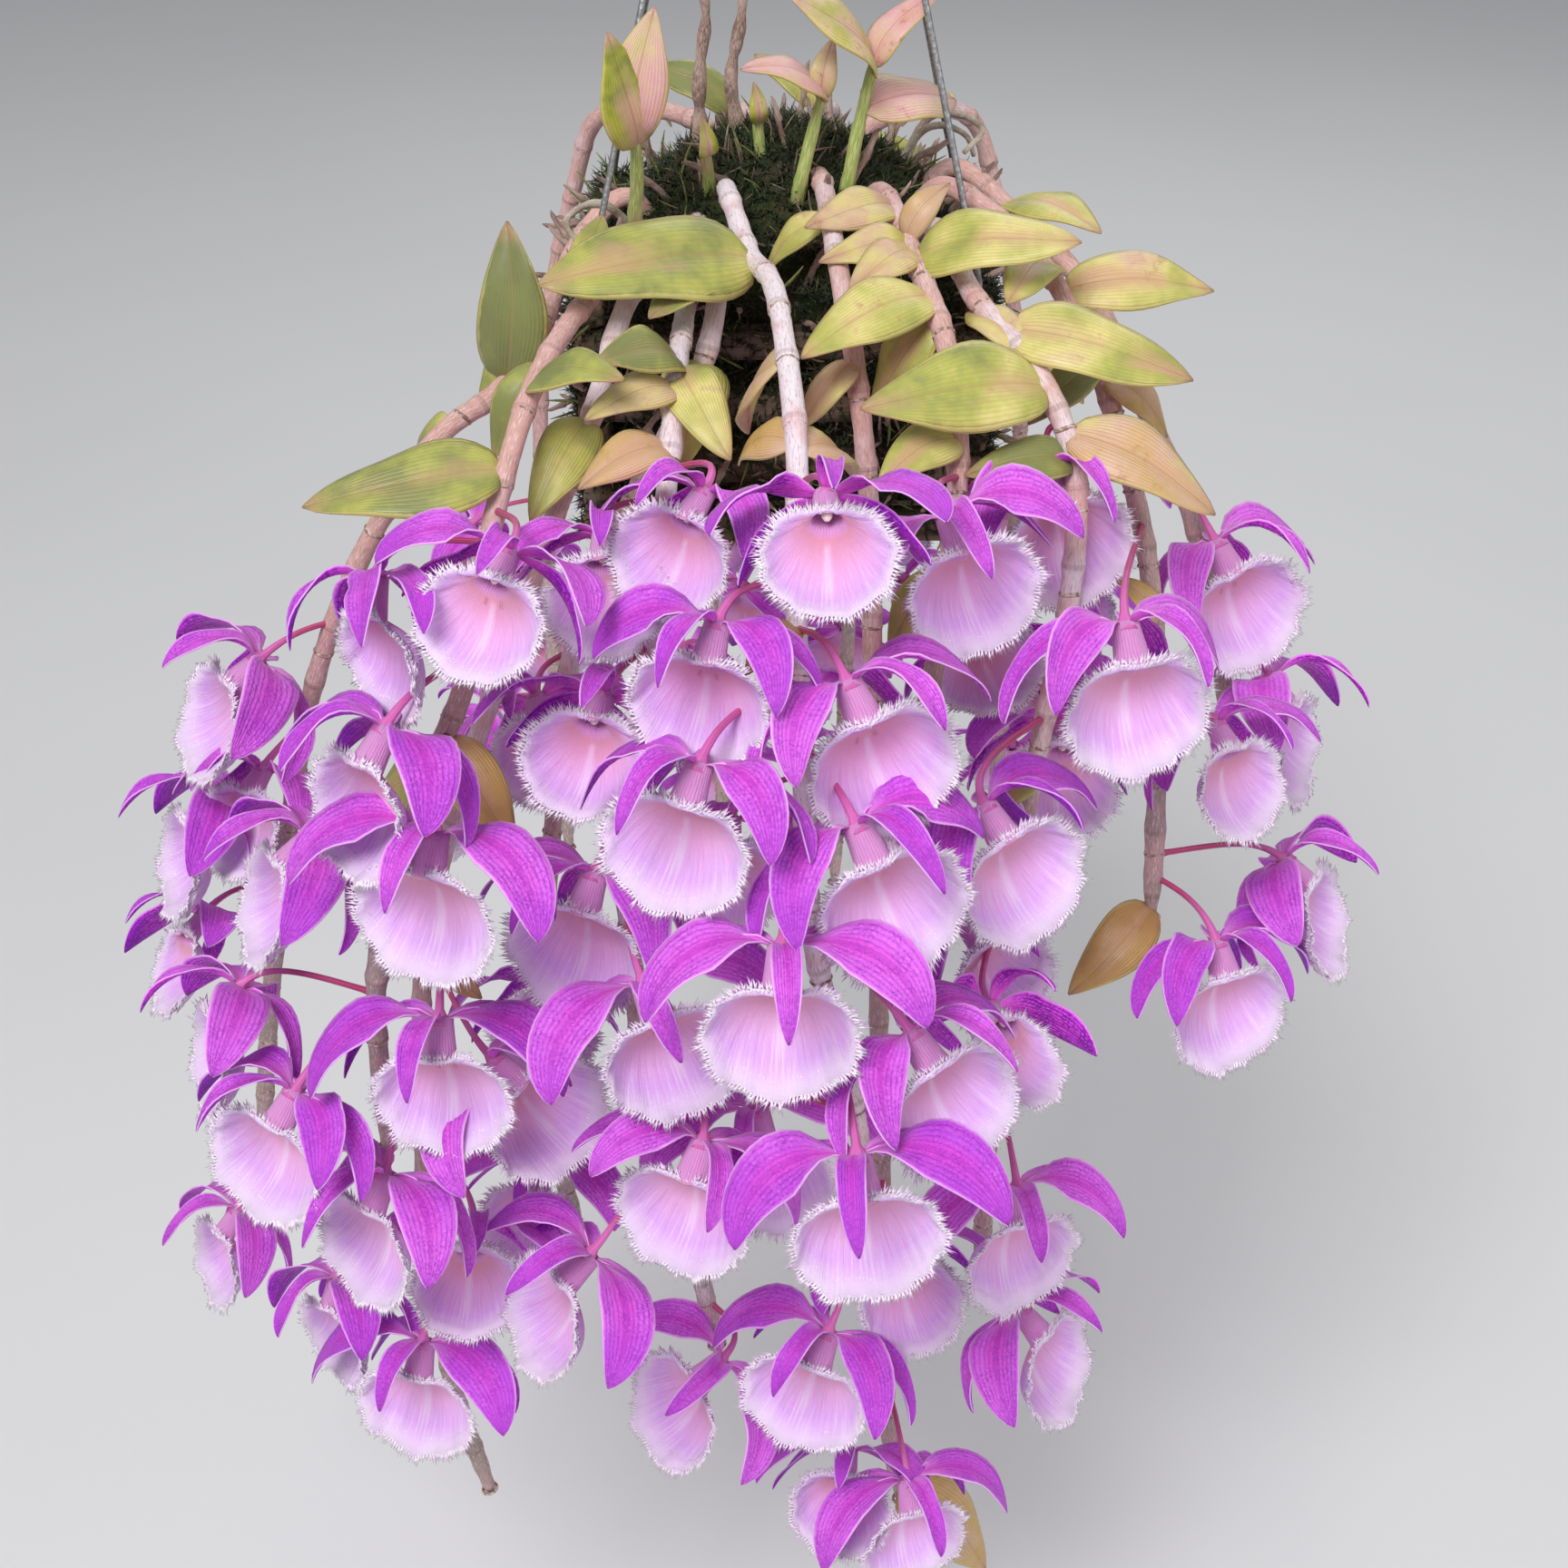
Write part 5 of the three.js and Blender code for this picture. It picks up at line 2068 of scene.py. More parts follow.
@dataclass(frozen=True)
class Basket:
    """The slatted basket: square rails laid crosswise in tiers, over a slatted floor."""

    width: float = 0.110
    rail: float = 0.0085
    gap: float = 0.0003
    tiers: int = 8
    top: float = -0.264
    slats: int = 4

    @property
    def corner(self) -> float:
        """How far from the middle the rails lie."""
        return (self.width - self.rail) / 2

    def height(self, tier: int) -> float:
        """The height of a tier's middle."""
        return self.top - self.rail / 2 - (self.tiers - 1 - tier) * (self.rail + self.gap)

    def bar(self, draft: Draft, middle: Vector, along_x: bool, salt: float) -> None:
        """Adds one weathered bar, with rounded edges and a little wander in its faces.

        Args:
            draft: the mesh that it is added to.
            middle: the middle of the bar.
            along_x: whether it lies along X.
            salt: what keeps its dents apart from another bar's.
        """
        half, sides, steps = self.rail / 2, 12, 44
        rows = []
        for step in evenly(steps):
            share = 2 * step - 1
            end = min(1.0, (1 - abs(share)) * 26 + 0.80)
            row = []
            for i in range(sides):
                turn = math.tau * (i + 0.5) / sides
                c, s = math.cos(turn), math.sin(turn)
                reach = min(1 / max(abs(c), abs(s)), 1.22) * half * end
                spot = Vector((share * self.width / 2, c * reach, s * reach))
                if not along_x:
                    spot = Vector((-spot.y, spot.x, spot.z))
                spot += middle
                dent = noise.noise(spot * 180.0 + SKY * salt) * 0.00022
                dent += noise.noise(spot * 620.0) * 0.0001
                row.append(spot + (spot - middle).normalized() * min(dent, 0.0001))
            rows.append(row)
        draft.tube(rows)

    def build(self, dress: Wardrobe) -> None:
        """Builds the tiers and the floor.

        Args:
            dress: the finishes, small shapes and recipes.
        """
        for tier in range(self.tiers):
            draft = Draft()
            along_x = tier % 2 == 0
            for side in (-1, 1):
                aside = side * self.corner
                spot = Vector((0, aside, 0)) if along_x else Vector((aside, 0, 0))
                self.bar(draft, spot + SKY * self.height(tier), along_x, tier * 3.0 + side)
            wood = dress.wood_x if along_x else dress.wood_y
            rails = [f"basket_rail_{tier + 1}{letter}" for letter in "ab"]
            place_piece(draft.object(f"rails_tier_{tier + 1}", [wood]), "basket_wood", *rails)
        draft = Draft()
        for slat in range(1, self.slats + 1):
            y = -self.corner + 2 * self.corner * slat / (self.slats + 1)
            self.bar(draft, Vector((0, y, self.height(0))), True, slat * 5.0)
        names = [f"basket_floor_slat_{slat}" for slat in range(1, self.slats + 1)]
        place_piece(draft.object("floor_slats", [dress.wood_x]), "basket_wood", *names)


@dataclass(frozen=True)
class Moss:
    """The moss: a dark domed block in the basket, and fronds that overgrow it and the rails."""

    crown: float = 0.014
    fall: float = 0.025
    fall_radius: float = 0.048
    half: float = 0.0460
    skirt_half: float = 0.0539
    cells: int = 26
    layers: int = 10

    def surface(self, x: float, y: float) -> float:
        """The height of the dome."""
        away = math.hypot(x, y) / self.fall_radius
        return MOSS_LEVEL + self.crown - self.fall * away * away

    def dome(self, draft: Draft) -> list[float]:
        """Adds the dome to a mesh, and gives the places of its grid's lines.

        Args:
            draft: the mesh that it is added to.

        Returns:
            The places of the grid's lines.
        """
        span = [self.half * (2 * share - 1) for share in evenly(self.cells)]
        rows = [[Vector((x, y, self.lump(x, y))) for x in span] for y in span]
        draft.grid(rows)
        return span

    def block(self, basket: Basket) -> Draft:
        """The block, with lumps on its dome.

        Args:
            basket: the basket that it fills.

        Returns:
            The block's mesh.
        """
        low = basket.height(0) + basket.rail / 2 + basket.gap
        draft = Draft()
        span = self.dome(draft)
        ring = [(x, span[0]) for x in span[:-1]] + [(span[-1], y) for y in span[:-1]]
        back = span[:0:-1]
        ring += [(x, span[-1]) for x in back] + [(span[0], y) for y in back]
        walls = []
        for share in evenly(self.layers):
            row = []
            for x, y in ring:
                z = low + (self.lump(x, y) - low) * share
                push = 1 + 0.03 * noise.noise(Vector((x, y, z)) * 120.0) * math.sin(math.pi * share)
                row.append(Vector((x * push, y * push, z)))
            walls.append(row)
        first, count = len(draft.places), len(ring)
        draft.grid(walls, closed=True)
        draft.cap(range(first + count - 1, first - 1, -1), 0.0)
        return draft

    def lump(self, x: float, y: float) -> float:
        """The height of the dome with its lumps.

        Args:
            x: the place across.
            y: the place back.

        Returns:
            The height.
        """
        bumps = noise.noise(Vector((x, y, 0)) * 90.0) * 0.0022
        bumps += noise.noise(Vector((x, y, 4)) * 260.0) * 0.0009
        edge = min(1.0, (self.half - max(abs(x), abs(y))) / 0.006)
        return self.surface(x, y) + bumps * max(edge, 0.0)

    def seat(self, basket: Basket) -> Draft:
        """Where things grow: the dome, the upper rails and the outer faces of the basket.

        Args:
            basket: the basket that it belongs to.

        Returns:
            The mesh.
        """
        draft = Draft()
        self.dome(draft)
        half, inner, top = self.skirt_half, self.half, basket.top + 0.0004
        heights = (basket.height(0) - basket.rail / 2, basket.height(3), top)
        rows = [[Vector((x, -half, z)) for x in (-half, 0.0, half)] for z in heights]
        rows.append([Vector((x, -inner, top)) for x in (-inner, 0.0, inner)])
        for turn in range(4):
            spun = Matrix.Rotation(turn * math.pi / 2, 3, "Z")
            draft.grid([[spun @ p for p in row] for row in rows], (0.0, 0.4, 0.8, 1.0))
        return draft

    def build(self, basket: Basket, dress: Wardrobe) -> None:
        """Builds the block with its fronds, and the dry bits among them.

        Args:
            basket: the basket that it belongs to.
            dress: the finishes, small shapes and recipes.
        """
        place_piece(self.block(basket).object("moss_block", [dress.moss]), "moss", "moss")
        sowing = (
            ("moss_fronds", dress.frond, dress.moss, 330000.0, 0.8, 2.4, 0.8),
            ("moss_blades", dress.blade, dress.moss_blade, 15000.0, 0.5, 1.4, 0.7),
            ("moss_litter", dress.blade, dress.old_stem, 12000.0, 0.5, 1.3, 1.3),
            ("moss_stubs", dress.stub, dress.old_stem, 3800.0, 0.45, 1.15, 0.5),
        )
        for seed, (name, shape, finish, *sizes) in enumerate(sowing, 11):
            seat = self.seat(basket).object("seat", [finish])
            named = dict(zip(FrondRecipe.sizes, sizes))
            piece = dress.frond_recipe.grow(seat, name, shape, finish, seed, **named)
            place_piece(piece, "moss", "moss")


@dataclass(frozen=True)
class Hanger:
    """Four wires from the basket's corners, gathered in a collar under an open hook."""

    wire: float = 0.0009
    hook: float = 0.0014
    bend_radius: float = 0.010
    shank: float = 0.017
    collar: float = 0.003
    collar_height: float = 0.014
    below: float = 0.0018
    shoulder: float = 0.018
    shoulder_share: float = 0.93
    gather_share: float = 0.03

    def build(self, basket: Basket, dress: Wardrobe) -> None:
        """Builds the wires, their beads, the collar and the hook.

        Args:
            basket: the basket that it belongs to.
            dress: the finishes, small shapes and recipes.
        """
        draft = Draft()
        centre = -(self.bend_radius - self.hook)
        collar_top = centre - self.bend_radius - self.shank
        collar_foot = collar_top - self.collar_height
        foot = basket.height(0) - basket.rail / 2 - basket.gap
        for x in (-basket.corner, basket.corner):
            for y in (-basket.corner, basket.corner):
                out, lean, near = Vector((x, y, 0)), self.shoulder_share, self.gather_share
                stations = [
                    out + SKY * (foot - self.below),
                    out + SKY * (basket.top - 0.002),
                    out + SKY * (basket.top + 0.003),
                    out * lean + SKY * (basket.top + self.shoulder),
                    out * near + SKY * (collar_foot + 0.003),
                ]
                draft.wire(Path(stations, 60).points, self.wire)
                bead = [out + SKY * (foot - k * MM) for k in (0.0, 0.3, 0.9, 1.5, 2.0)]
                draft.sweep(bead, [r * MM for r in (1.2, 2.2, 2.4, 2.1, 0.8)], sides=14)
        profile = (
            (0, 0.72), (0.04, 0.92), (0.12, 1), (0.5, 0.97), (0.88, 1), (0.96, 0.92), (1, 0.72),
        )
        collar = [SKY * (collar_foot + self.collar_height * rise) for rise, _ in profile]
        draft.sweep(collar, [self.collar * width for _, width in profile], sides=18)
        hook = [SKY * (collar_top - 0.004), SKY * (collar_top + 0.005)]
        for degrees in (-40, -10, 25, 60, 95, 130, 165, 200, 225):
            angle = math.radians(degrees)
            x, z = self.bend_radius * math.cos(angle), self.bend_radius * math.sin(angle)
            hook.append(Vector((x, 0, centre + z)))
        draft.wire(Path(hook, 90).points, self.hook)
        place_piece(draft.object("wire_hanger", [dress.wire]), "hanger_wire", "hanger")


# --- the wardrobe


class Wardrobe:
    """Every finish, small shape and recipe, made once."""

    def __init__(self) -> None:
        """Makes them all."""
        self.tepal_outside = TepalFinish().material()
        self.tepal_inside = TepalFinish(
            "tepal_inside", rose=(0.82, 0.17, 0.88), violet=(0.58, 0.08, 0.76),
            vein=(0.36, 0.03, 0.52), pale=(0.90, 0.55, 0.95), base=(0.90, 0.38, 0.86),
            veining=0.42,
        ).material()
        self.lip = LipFinish().material()
        self.fringe = FringeFinish().material()
        self.stalk = StalkFinish().material()
        self.column = ColumnFinish().material()
        self.cane = CaneFinish().material()
        self.scar = ScarFinish().material()
        self.leaf = LeafFinish().material()
        self.leaf_back = LeafFinish("leaf_back", back=0.35).material()
        self.young_leaf = LeafFinish(
            "young_leaf", pink=(0.84, 0.46, 0.48), straw=(0.78, 0.60, 0.34),
            flush=(0.82, 0.42, 0.42),
        ).material()
        self.shoot = ShootFinish().material()
        self.old_stem = BarkFinish(
            "old_stem_bark", pale=(0.66, 0.48, 0.41), dark=(0.22, 0.13, 0.10),
        ).material()
        self.root = BarkFinish(
            "root_skin", pale=(0.72, 0.64, 0.54), dark=(0.36, 0.25, 0.17),
        ).material()
        self.moss = MossFinish().material()
        self.moss_blade = MossFinish(
            "moss_blade", dark=(0.05, 0.06, 0.02), green=(0.16, 0.20, 0.05), tip=(0.34, 0.32, 0.12),
            brown=(0.40, 0.26, 0.14),
        ).material()
        self.wood_x = WoodFinish("basket_wood_x", along_x=True).material()
        self.wood_y = WoodFinish("basket_wood_y", along_x=False).material()
        self.wire = WireFinish().material()
        self.fringe_recipe = FringeRecipe()
        self.ring_recipe = RingRecipe()
        self.frond_recipe = FrondRecipe()
        self.tooth = self.make_tooth()
        self.ring = self.make_ring()
        self.frond = self.make_frond()
        self.blade = self.make_blade()
        self.stub = self.make_stub()

    def spikes(
        self, name: str, rows: Iterable[tuple[Place, Place, float]], material: Material,
    ) -> Object:
        """A shape made of three-sided spikes, each from a foot to a tip.

        Args:
            name: its name.
            rows: the foot, the tip and the foot's radius of each spike.
            material: its finish.

        Returns:
            The shape.
        """
        draft = Draft()
        for foot, tip, radius in rows:
            low, high = Vector(foot), Vector(tip)
            ahead = (high - low).normalized()
            across = ahead.orthogonal().normalized()
            corners = [
                low + Matrix.Rotation(math.tau * k / 3, 3, ahead) @ across * radius
                for k in range(3)
            ]
            first = len(draft.places)
            draft.places.extend([*corners, high])
            draft.tones.extend([0.0] * 4)
            draft.alongs.extend([0.0] * 4)
            for k in range(3):
                draft.cap([first + k, first + (k + 1) % 3, first + 3], 0.5)
            draft.cap([first + 2, first + 1, first], 0.0)
        return draft.object(name, [material])

    def make_tooth(self) -> Object:
        """A tooth of the fringe, 1.7 mm long, with a side tooth."""
        rows = [
            ((0, 0, -0.0003), (0, 0.0001, 0.0018), 0.00042),
            ((0.0001, 0, 0.0002), (0.0007, 0, 0.0013), 0.00022),
        ]
        return self.spikes("tooth", rows, self.fringe)

    def make_frond(self) -> Object:
        """A sprig of moss, 3 mm long.

        Returns:
            The shape.
        """
        rows = [
            ((0, 0, -0.0004), (0.0006, 0, 0.0030), 0.00022),
            ((0.0001, 0, 0.0006), (0.0014, 0.0003, 0.0017), 0.00016),
            ((0.0002, 0, 0.0011), (-0.0009, -0.0005, 0.0022), 0.00016),
        ]
        return self.spikes("frond", rows, self.moss)

    def make_blade(self) -> Object:
        """A thin bent stalk, 9 mm long."""
        draft = Draft()
        points = [Vector((0.0016 * (k / 4) ** 2, 0, -0.001 + 0.010 * k / 4)) for k in range(5)]
        draft.sweep(points, [0.00034, 0.00036, 0.00034, 0.00026, 0.00008], sides=4)
        return draft.object("blade", [self.moss])

    def make_stub(self) -> Object:
        """The dry stub of an old stem, 16 mm long, with a knot half way.

        Returns:
            The shape.
        """
        draft = Draft()
        stations = (
            (0, 0, -2), (0.2, 0.1, 1.5), (0.1, 0.4, 5), (0.5, 0.3, 8), (0.9, 0, 8.8),
            (1.3, 0.1, 12), (1.5, 0.4, 15), (1.2, 0.6, 16.4),
        )
        points = [Vector(station) * MM for station in stations]
        draft.sweep(points, [r * MM for r in (0.9, 1.1, 0.9, 0.95, 1.35, 0.85, 0.7, 0.2)], sides=6)
        return draft.object("stub", [self.moss])

    def make_ring(self) -> Object:
        """A dry ring that stands a little out of the stem.

        Returns:
            The shape.
        """
        draft = Draft()
        profile = [(2.5, -0.6), (2.78, -0.3), (2.9, 0.0), (2.82, 0.25), (2.5, 0.6)]
        turns = [math.tau * k / 16 for k in range(16)]
        rows = []
        for radius, height in profile:
            row = []
            for turn in turns:
                reach = radius * (1 + 0.02 * math.sin(3 * turn + height)) * MM
                lift = (height + 0.15 * math.sin(2 * turn)) * MM
                row.append(Vector((math.cos(turn), math.sin(turn), 0)) * reach + SKY * lift)
            rows.append(row)
        rows.append([p * 0.8 for p in rows[-1]])
        rows.append([p * 0.8 for p in rows[0]])
        rows.append([p.copy() for p in rows[0]])
        draft.grid(rows, closed=True)
        return draft.object("ring", [self.scar])

    def put_away(self) -> None:
        """Removes the small shapes once they are all set."""
        for shape in (self.tooth, self.ring, self.frond, self.blade, self.stub):
            bpy.data.objects.remove(shape)


# --- what the view shows


FRONT_CANES = (
    FrontCane(
        "cane_centre", 0.95,
        track=(
            (800, 208, -30), (828, 283, -66), (850, 310, -84), (865, 380, -110), (878, 500, -138),
            (878, 690, -160), (885, 850, -172), (895, 1030, -180), (935, 1190, -186),
            (955, 1290, -188),
        ),
        leaves=(
            (828, 290, 592, 315, -95, 0.34), (878, 690, 822, 745, -175, 0.98),
            (868, 400, 826, 478, -96, 0.58), (875, 485, 815, 512, -120, 0.72),
            (878, 500, 940, 528, -118, 0.66),
        ),
        flowers=(
            (910, 548, -172, 912, 615, 0), (790, 690, -186, 768, 780, -5, 28),
            (935, 755, -190, 980, 855, 10, -28), (770, 845, -205, 740, 940, -8, 28),
            (945, 912, -205, 990, 1010, 8, -28), (862, 1045, -222, 860, 1160, 0),
            (1005, 1140, -214, 1078, 1255, 25, -30), (945, 1275, -236, 960, 1385, 3, 10),
            (835, 1225, -165, 848, 1310, -10),
        ),
    ),
    FrontCane(
        "cane_left_front", 0.38,
        track=(
            (690, 300, -50), (640, 340, -84), (590, 420, -112), (560, 510, -130), (540, 590, -140),
            (510, 760, -150), (440, 920, -158), (415, 1080, -162), (427, 1263, -160),
        ),
        leaves=(
            (595, 430, 688, 420, -130, 0.22), (548, 520, 334, 560, -140, 0.27),
            (600, 405, 545, 505, -114, 0.18), (646, 335, 664, 238, -64, 0.36),
            (490, 820, 566, 934, -165, 0.8), (470, 850, 418, 908, -140, 0.3),
        ),
        flowers=(
            (560, 612, -170, 530, 685, -12), (415, 640, -160, 408, 732, -70, 26),
            (425, 805, -182, 378, 905, -50), (480, 920, -192, 458, 1035, -20),
            (340, 925, -146, 262, 1015, -70), (265, 1090, -150, 190, 1215, -75),
            (325, 1205, -184, 282, 1290, -25, 24), (425, 1295, -186, 385, 1395, -45),
        ),
    ),
    FrontCane(
        "cane_left_low", 0.62,
        track=(
            (735, 250, -34), (718, 286, -54), (686, 345, -78), (655, 450, -100), (615, 560, -116),
            (565, 700, -122), (512, 860, -128), (475, 1000, -132), (465, 1088, -135),
            (467, 1280, -140), (485, 1440, -142), (500, 1530, -142), (540, 1640, -140),
        ),
        leaves=((650, 465, 585, 575, -125, 0.32), (500, 1045, 530, 1100, -140, 0.85)),
        flowers=(
            (545, 1170, -170, 625, 1248, 30, -10), (485, 1125, -184, 485, 1222, -10),
            (372, 1410, -150, 360, 1478, -60), (467, 1480, -168, 448, 1600, -15, 10),
            (522, 1352, -166, 520, 1408, 5),
        ),
    ),
    FrontCane(
        "cane_centre_left", 0.72,
        track=(
            (770, 246, -30), (757, 330, -66), (745, 420, -104), (738, 500, -122), (725, 640, -138),
            (705, 800, -150), (690, 950, -157), (700, 1100, -162), (720, 1250, -162),
            (765, 1380, -158), (790, 1480, -155),
        ),
        leaves=(
            (745, 400, 658, 400, -120, 0.22), (740, 500, 638, 540, -135, 0.72),
            (748, 410, 805, 508, -125, 0.38), (740, 430, 645, 464, -124, 0.52),
        ),
        flowers=(
            (775, 545, -150, 735, 615, -20, 22), (665, 770, -164, 645, 835, -10),
            (655, 965, -172, 628, 1055, -15, 26), (775, 1260, -196, 742, 1362, -20, -36),
            (650, 1385, -188, 590, 1450, -60, -20), (710, 1085, -190, 752, 1185, 5),
            (795, 1500, -168, 730, 1560, -50, -24), (665, 590, -142, 668, 662, -15, -20),
        ),
    ),
    FrontCane(
        "cane_centre_right", 0.45,
        track=(
            (965, 212, -28), (1010, 290, -74), (1045, 390, -104), (1056, 500, -120),
            (1045, 640, -132), (1020, 800, -140), (1010, 1000, -146), (1020, 1150, -150),
            (1040, 1300, -150),
        ),
        leaves=(
            (1012, 280, 1192, 268, -90, 0.38), (1022, 330, 883, 396, -110, 0.42),
            (1005, 280, 935, 326, -90, 0.6), (1012, 262, 1047, 203, -60, 0.8),
            (1052, 490, 966, 540, -135, 0.42), (1045, 635, 980, 718, -148, 0.4),
            (978, 232, 887, 252, -64, 0.6), (998, 270, 903, 290, -74, 0.56),
            (1030, 345, 962, 452, -90, 0.36),
        ),
        flowers=((1045, 570, -153, 1078, 655, 10), (1066, 692, -106, 1083, 732, 0)),
    ),
    FrontCane(
        "cane_right_inner", 0.55,
        track=(
            (1025, 250, -32), (1076, 330, -86), (1125, 385, -104), (1160, 440, -114),
            (1185, 520, -122), (1180, 650, -130), (1150, 800, -136), (1120, 950, -140),
            (1100, 1100, -142), (1090, 1250, -142), (1080, 1400, -140),
        ),
        leaves=(
            (1112, 360, 1314, 420, -110, 0.44), (1155, 430, 948, 452, -130, 0.38),
            (1175, 475, 1338, 568, -130, 0.68), (1182, 505, 1064, 525, -125, 0.16),
            (1145, 850, 1085, 905, -150, 0.4), (1125, 385, 1066, 346, -84, 0.46),
        ),
        flowers=(
            (1159, 521, -119, 1182, 606, 12, -20), (1165, 800, -122, 1172, 862, 20),
            (1085, 890, -172, 1142, 985, 25, -28), (1090, 1112, -174, 1120, 1150, 50),
            (1060, 1010, -156, 1112, 1078, 35), (1120, 1310, -170, 1132, 1395, 35, 20),
            (1125, 1445, -158, 1182, 1520, 60),
        ),
    ),
    FrontCane(
        "cane_right_outer", 0.3,
        track=(
            (1032, 206, -24), (1090, 232, -40), (1152, 296, -62), (1195, 370, -80),
            (1225, 450, -90), (1262, 600, -102), (1275, 740, -112), (1275, 850, -118),
            (1272, 940, -122), (1268, 1010, -124),
        ),
        leaves=(
            (1170, 325, 1337, 322, -70, 0.5), (1150, 292, 1110, 336, -90, 0.36),
            (1215, 420, 1285, 482, -90, 0.74), (1270, 1000, 1178, 1096, -140, 0.95),
            (1212, 405, 1134, 468, -92, 0.16), (1268, 690, 1228, 636, -112, 0.82),
        ),
        flowers=(
            (1240, 690, -166, 1260, 798, 12, -28), (1340, 800, -128, 1370, 865, 40),
            (1415, 950, -108, 1490, 1035, 70), (1340, 1040, -140, 1365, 1135, 25, -25),
        ),
    ),
    FrontCane(
        "cane_right_back", 0.32,
        track=(
            (1046, 184, -4), (1116, 233, -16), (1200, 321, -34), (1262, 450, -54), (1310, 560, -62),
            (1340, 680, -68), (1352, 800, -72),
        ),
        leaves=((1100, 240, 1213, 258, -42, 0.42), (1262, 450, 1200, 402, -60, 0.3)),
        flowers=((1340, 600, -82, 1390, 700, 12, -35), (1400, 750, -84, 1462, 868, 70)),
    ),
    FrontCane(
        "cane_centre_back", 0.5,
        track=(
            (900, 196, -16), (925, 300, -74), (945, 420, -92), (958, 560, -100), (960, 640, -104),
            (962, 740, -112), (965, 900, -124), (968, 1100, -134), (972, 1300, -142),
            (975, 1460, -146), (978, 1560, -148), (992, 1650, -148),
        ),
        leaves=(
            (915, 240, 846, 300, -52, 0.42), (918, 250, 974, 246, -34, 0.6),
            (940, 400, 882, 474, -100, 0.58), (988, 1640, 1085, 1728, -150, 0.76),
        ),
        flowers=(
            (912, 1470, -184, 872, 1580, -8, 26), (1000, 1632, -176, 1012, 1705, 30),
            (935, 1600, -166, 925, 1655, -10), (805, 905, -134, 800, 970, -5),
            (985, 1375, -160, 1005, 1430, 15),
        ),
    ),
    FrontCane(
        "cane_left_outer", 0.32,
        track=(
            (690, 216, -18), (648, 252, -24), (612, 322, -50), (585, 385, -76), (545, 435, -90),
            (490, 475, -98), (410, 590, -98), (350, 740, -96), (320, 900, -94), (300, 1080, -92),
            (290, 1250, -90),
        ),
        leaves=((560, 422, 560, 244, -80, 0.06), (500, 470, 470, 560, -80, 0.3)),
        flowers=(
            (285, 730, -108, 212, 800, -60), (235, 880, -100, 185, 950, -70),
            (290, 850, -108, 262, 910, -40), (225, 1010, -98, 195, 1060, -75),
            (262, 1335, -108, 232, 1390, -60),
        ),
    ),
    FrontCane(
        "cane_left_inner", 0.6,
        track=(
            (786, 272, -46), (790, 330, -70), (775, 400, -78), (735, 480, -88), (672, 600, -94),
            (630, 720, -96), (610, 900, -104), (600, 1100, -112), (610, 1250, -118),
            (640, 1370, -122),
        ),
        leaves=(
            (790, 310, 715, 352, -95, 0.3), (715, 460, 800, 440, -95, 0.38),
            (775, 400, 752, 516, -112, 0.46),
        ),
        flowers=(
            (600, 1285, -146, 585, 1348, -10), (600, 1080, -120, 605, 1130, 5),
            (592, 770, -106, 600, 830, -20),
        ),
    ),
)

BACK_CANES = (
    BackCane(
        "cane_back_right", start=0.033, heading=48, lean=-6, reach=0.112, first=-0.142, foot=-0.262,
        paper=0.4,
        leaves=((4, -26, -12, 0.3), (6, -28, -20, 0.45), (7, 22, -24, 0.36)),
    ),
    BackCane(
        "cane_back_middle_right", start=0.024, heading=76, lean=4, reach=0.124, first=-0.090,
        foot=-0.318, paper=0.7,
        leaves=(
            (3, -24, 12, 0.4), (4, 29, -8, 0.25), (5, -29, -20, 0.6), (6, 26, -22, 0.34),
            (7, -24, -20, 0.5),
        ),
    ),
    BackCane(
        "cane_back_middle_left", start=0.032, heading=106, lean=-3, reach=0.111, first=-0.090,
        foot=-0.286, paper=0.5,
        leaves=(
            (3, -24, 12, 0.22), (4, 24, -8, 0.42), (5, -28, -20, 0.8), (6, 26, -22, 0.3),
            (7, -24, -20, 0.44),
        ),
    ),
    BackCane(
        "cane_back_left", start=0.027, heading=132, lean=6, reach=0.116, first=-0.146, foot=-0.272,
        paper=0.35,
        leaves=((4, 26, -12, 0.36), (6, 28, -20, 0.5), (7, -22, -24, 0.28)),
    ),
)

SHOOTS = (
    Shoot(
        "shoot_left",
        track=((702, 250, -38), (702, 205, -43), (700, 140, -50)),
        leaves=((702, 160, 668, 36, -58, 0.34), (701, 146, 722, 8, -54, 0.6)),
    ),
    Shoot(
        "shoot_bud_left",
        track=((784, 240, -20), (782, 205, -24), (776, 160, -32)),
        leaves=((776, 170, 772, 128, -34, 0.4),),
    ),
    Shoot(
        "shoot_bud_middle",
        track=((842, 212, -14), (838, 170, -14), (834, 125, -14)),
        leaves=((835, 135, 830, 92, -14, 0.4),),
    ),
    Shoot(
        "shoot_middle",
        track=((880, 214, -30), (892, 160, -30), (906, 105, -30)),
        leaves=((905, 110, 816, 78, -48, 0.6), (906, 108, 918, 44, -26, 0.5)),
    ),
    Shoot(
        "shoot_right",
        track=((932, 212, -26), (944, 150, -26), (962, 72, -26)),
        leaves=(
            (962, 78, 868, -4, -46, 0.46), (964, 74, 1034, -6, -20, 0.6),
            (950, 122, 1052, 112, 0, 0.58),
        ),
    ),
)

OLD_STEMS = (
    Twig(
        "old_stem_left", ((772, 150, 6), (770, 90, 6), (778, 20, 8), (772, -30, 10)), 0.0021,
        "old_stem", 0.4,
    ),
    Twig(
        "old_stem_right", ((812, 140, 8), (806, 80, 8), (818, 10, 10), (822, -50, 12)), 0.0021,
        "old_stem", 0.4,
    ),
)

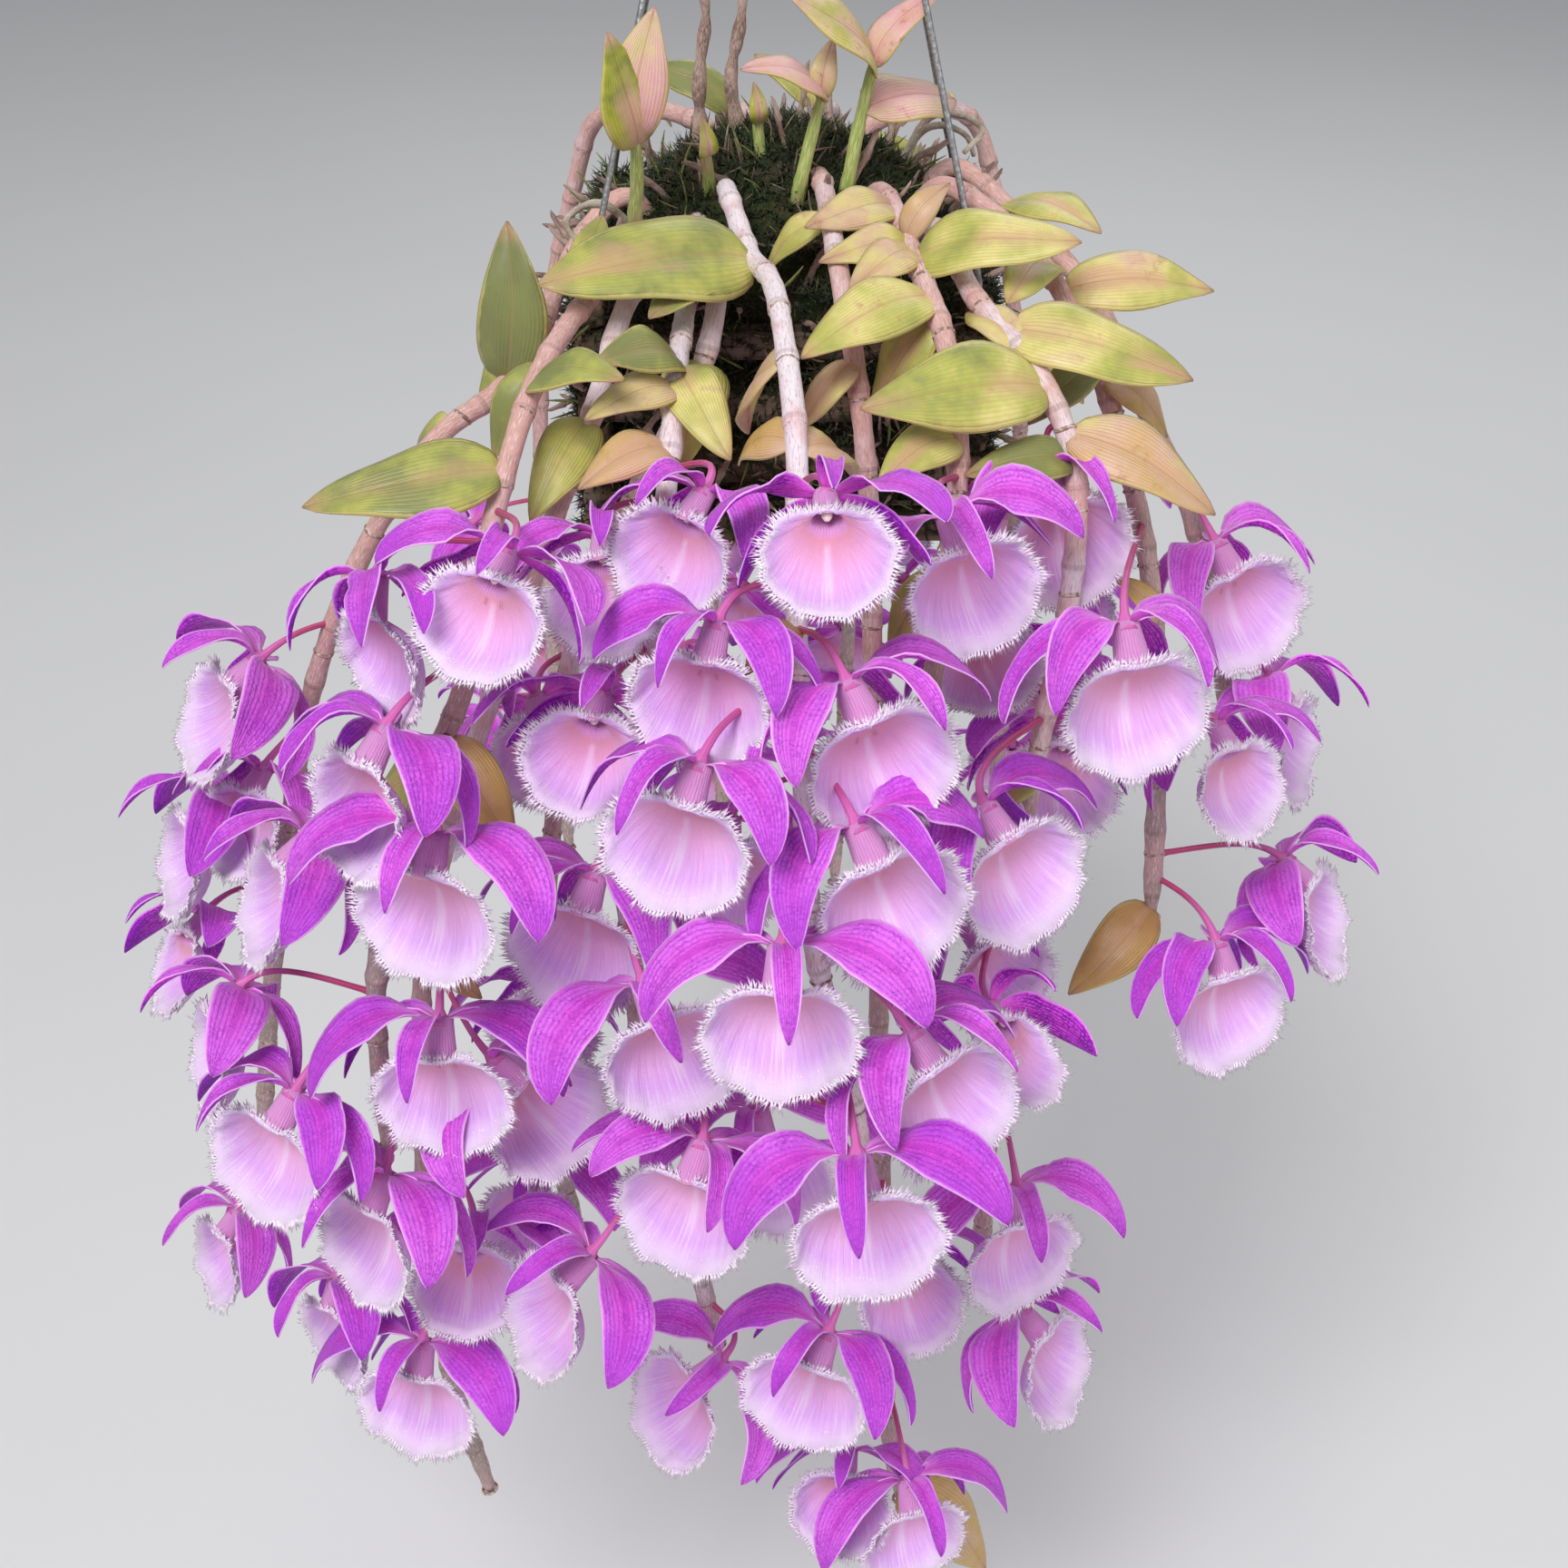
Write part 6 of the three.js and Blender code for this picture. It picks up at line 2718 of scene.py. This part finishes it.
ROOTS = (
    Twig(
        "root_right_back", ((1010, 150, 12), (1038, 138, 8), (1064, 150, 6), (1072, 172, 8)),
        0.0013, "aerial_root",
    ),
    Twig(
        "root_right", ((1022, 132, 24), (1062, 128, 14), (1082, 146, 0), (1062, 168, -4)), 0.0013,
        "aerial_root",
    ),
    Twig(
        "root_left", ((676, 232, -36), (650, 226, -40), (624, 244, -50), (640, 268, -58)), 0.0013,
        "aerial_root",
    ),
)


# --- the studio


@dataclass(frozen=True)
class Studio:
    """A plain pale floor and soft light."""

    floor_height: float = -0.78
    floor_half: float = 6.0
    aim_height: float = -0.4

    def build(self) -> None:
        """Builds the floor, the lights and the world."""
        draft = Draft()
        h = self.floor_half
        draft.grid([[Vector((x, y, self.floor_height)) for x in (-h, h)] for y in (-h, h)])
        s = Shader("pale_floor", Specular_IOR_Level=0.2)
        cloud = s.cloud(3.0, 2.0)
        pale = s.mix(cloud, (0.76, 0.76, 0.77), (0.80, 0.80, 0.80))
        draft.object("floor", [s.finish(pale, 0.75)])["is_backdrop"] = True
        self.lamp("key", (-0.5, -1.35, 1.2), size=0.8, power=33.0)
        self.lamp("fill", (1.6, -1.2, 0.2), size=1.4, power=8.0)
        self.lamp("rim", (0.4, 1.6, 0.9), size=1.2, power=9.0)
        world = bpy.data.worlds.new("soft_room")
        world.use_nodes = True
        back = world.node_tree.nodes["Background"]
        back.inputs["Color"].default_value = (0.95, 0.96, 1.0, 1.0)
        back.inputs["Strength"].default_value = 0.34
        bpy.context.scene.world = world
        bpy.context.scene.view_settings.view_transform = "Standard"

    def lamp(self, name: str, place: Place, size: float, power: float) -> None:
        """Adds a square soft light that faces the plant.

        Args:
            name: its name.
            place: where it hangs.
            size: its side.
            power: its power, in watts.
        """
        data = bpy.data.lights.new(name, "AREA")
        data.size = size
        data.energy = power
        lamp = link(name, data)
        lamp.location = place
        ahead = SKY * self.aim_height - Vector(place)
        lamp.rotation_euler = ahead.to_track_quat("-Z", "Y").to_euler()


def corners(box: Any) -> list[list[float]]:
    """A box as plain lists of numbers."""
    return [[round(float(c), 5) for c in corner] for corner in box]


def main() -> None:
    """Builds the plant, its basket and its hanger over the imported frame."""
    logging.basicConfig(level=logging.INFO, format="%(name)s %(message)s")
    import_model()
    cad_box = corners(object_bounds())
    VIEW.add_camera()
    dress = Wardrobe()
    canes = [row.cane() for row in (*FRONT_CANES, *BACK_CANES)]
    for cane in canes:
        cane.build(dress)
    for shoot in SHOOTS:
        shoot.build(dress)
    for twig in OLD_STEMS:
        twig.build(dress.old_stem)
    for twig in ROOTS:
        twig.build(dress.root)
    basket = Basket()
    basket.build(dress)
    Moss().build(basket, dress)
    Hanger().build(basket, dress)
    dress.put_away()
    Studio().build()
    bpy.context.view_layer.update()
    sizes = {"cad": cad_box, "visual": corners(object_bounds())}
    log.info("sizes %s", sizes)


if __name__ == "__main__":
    main()
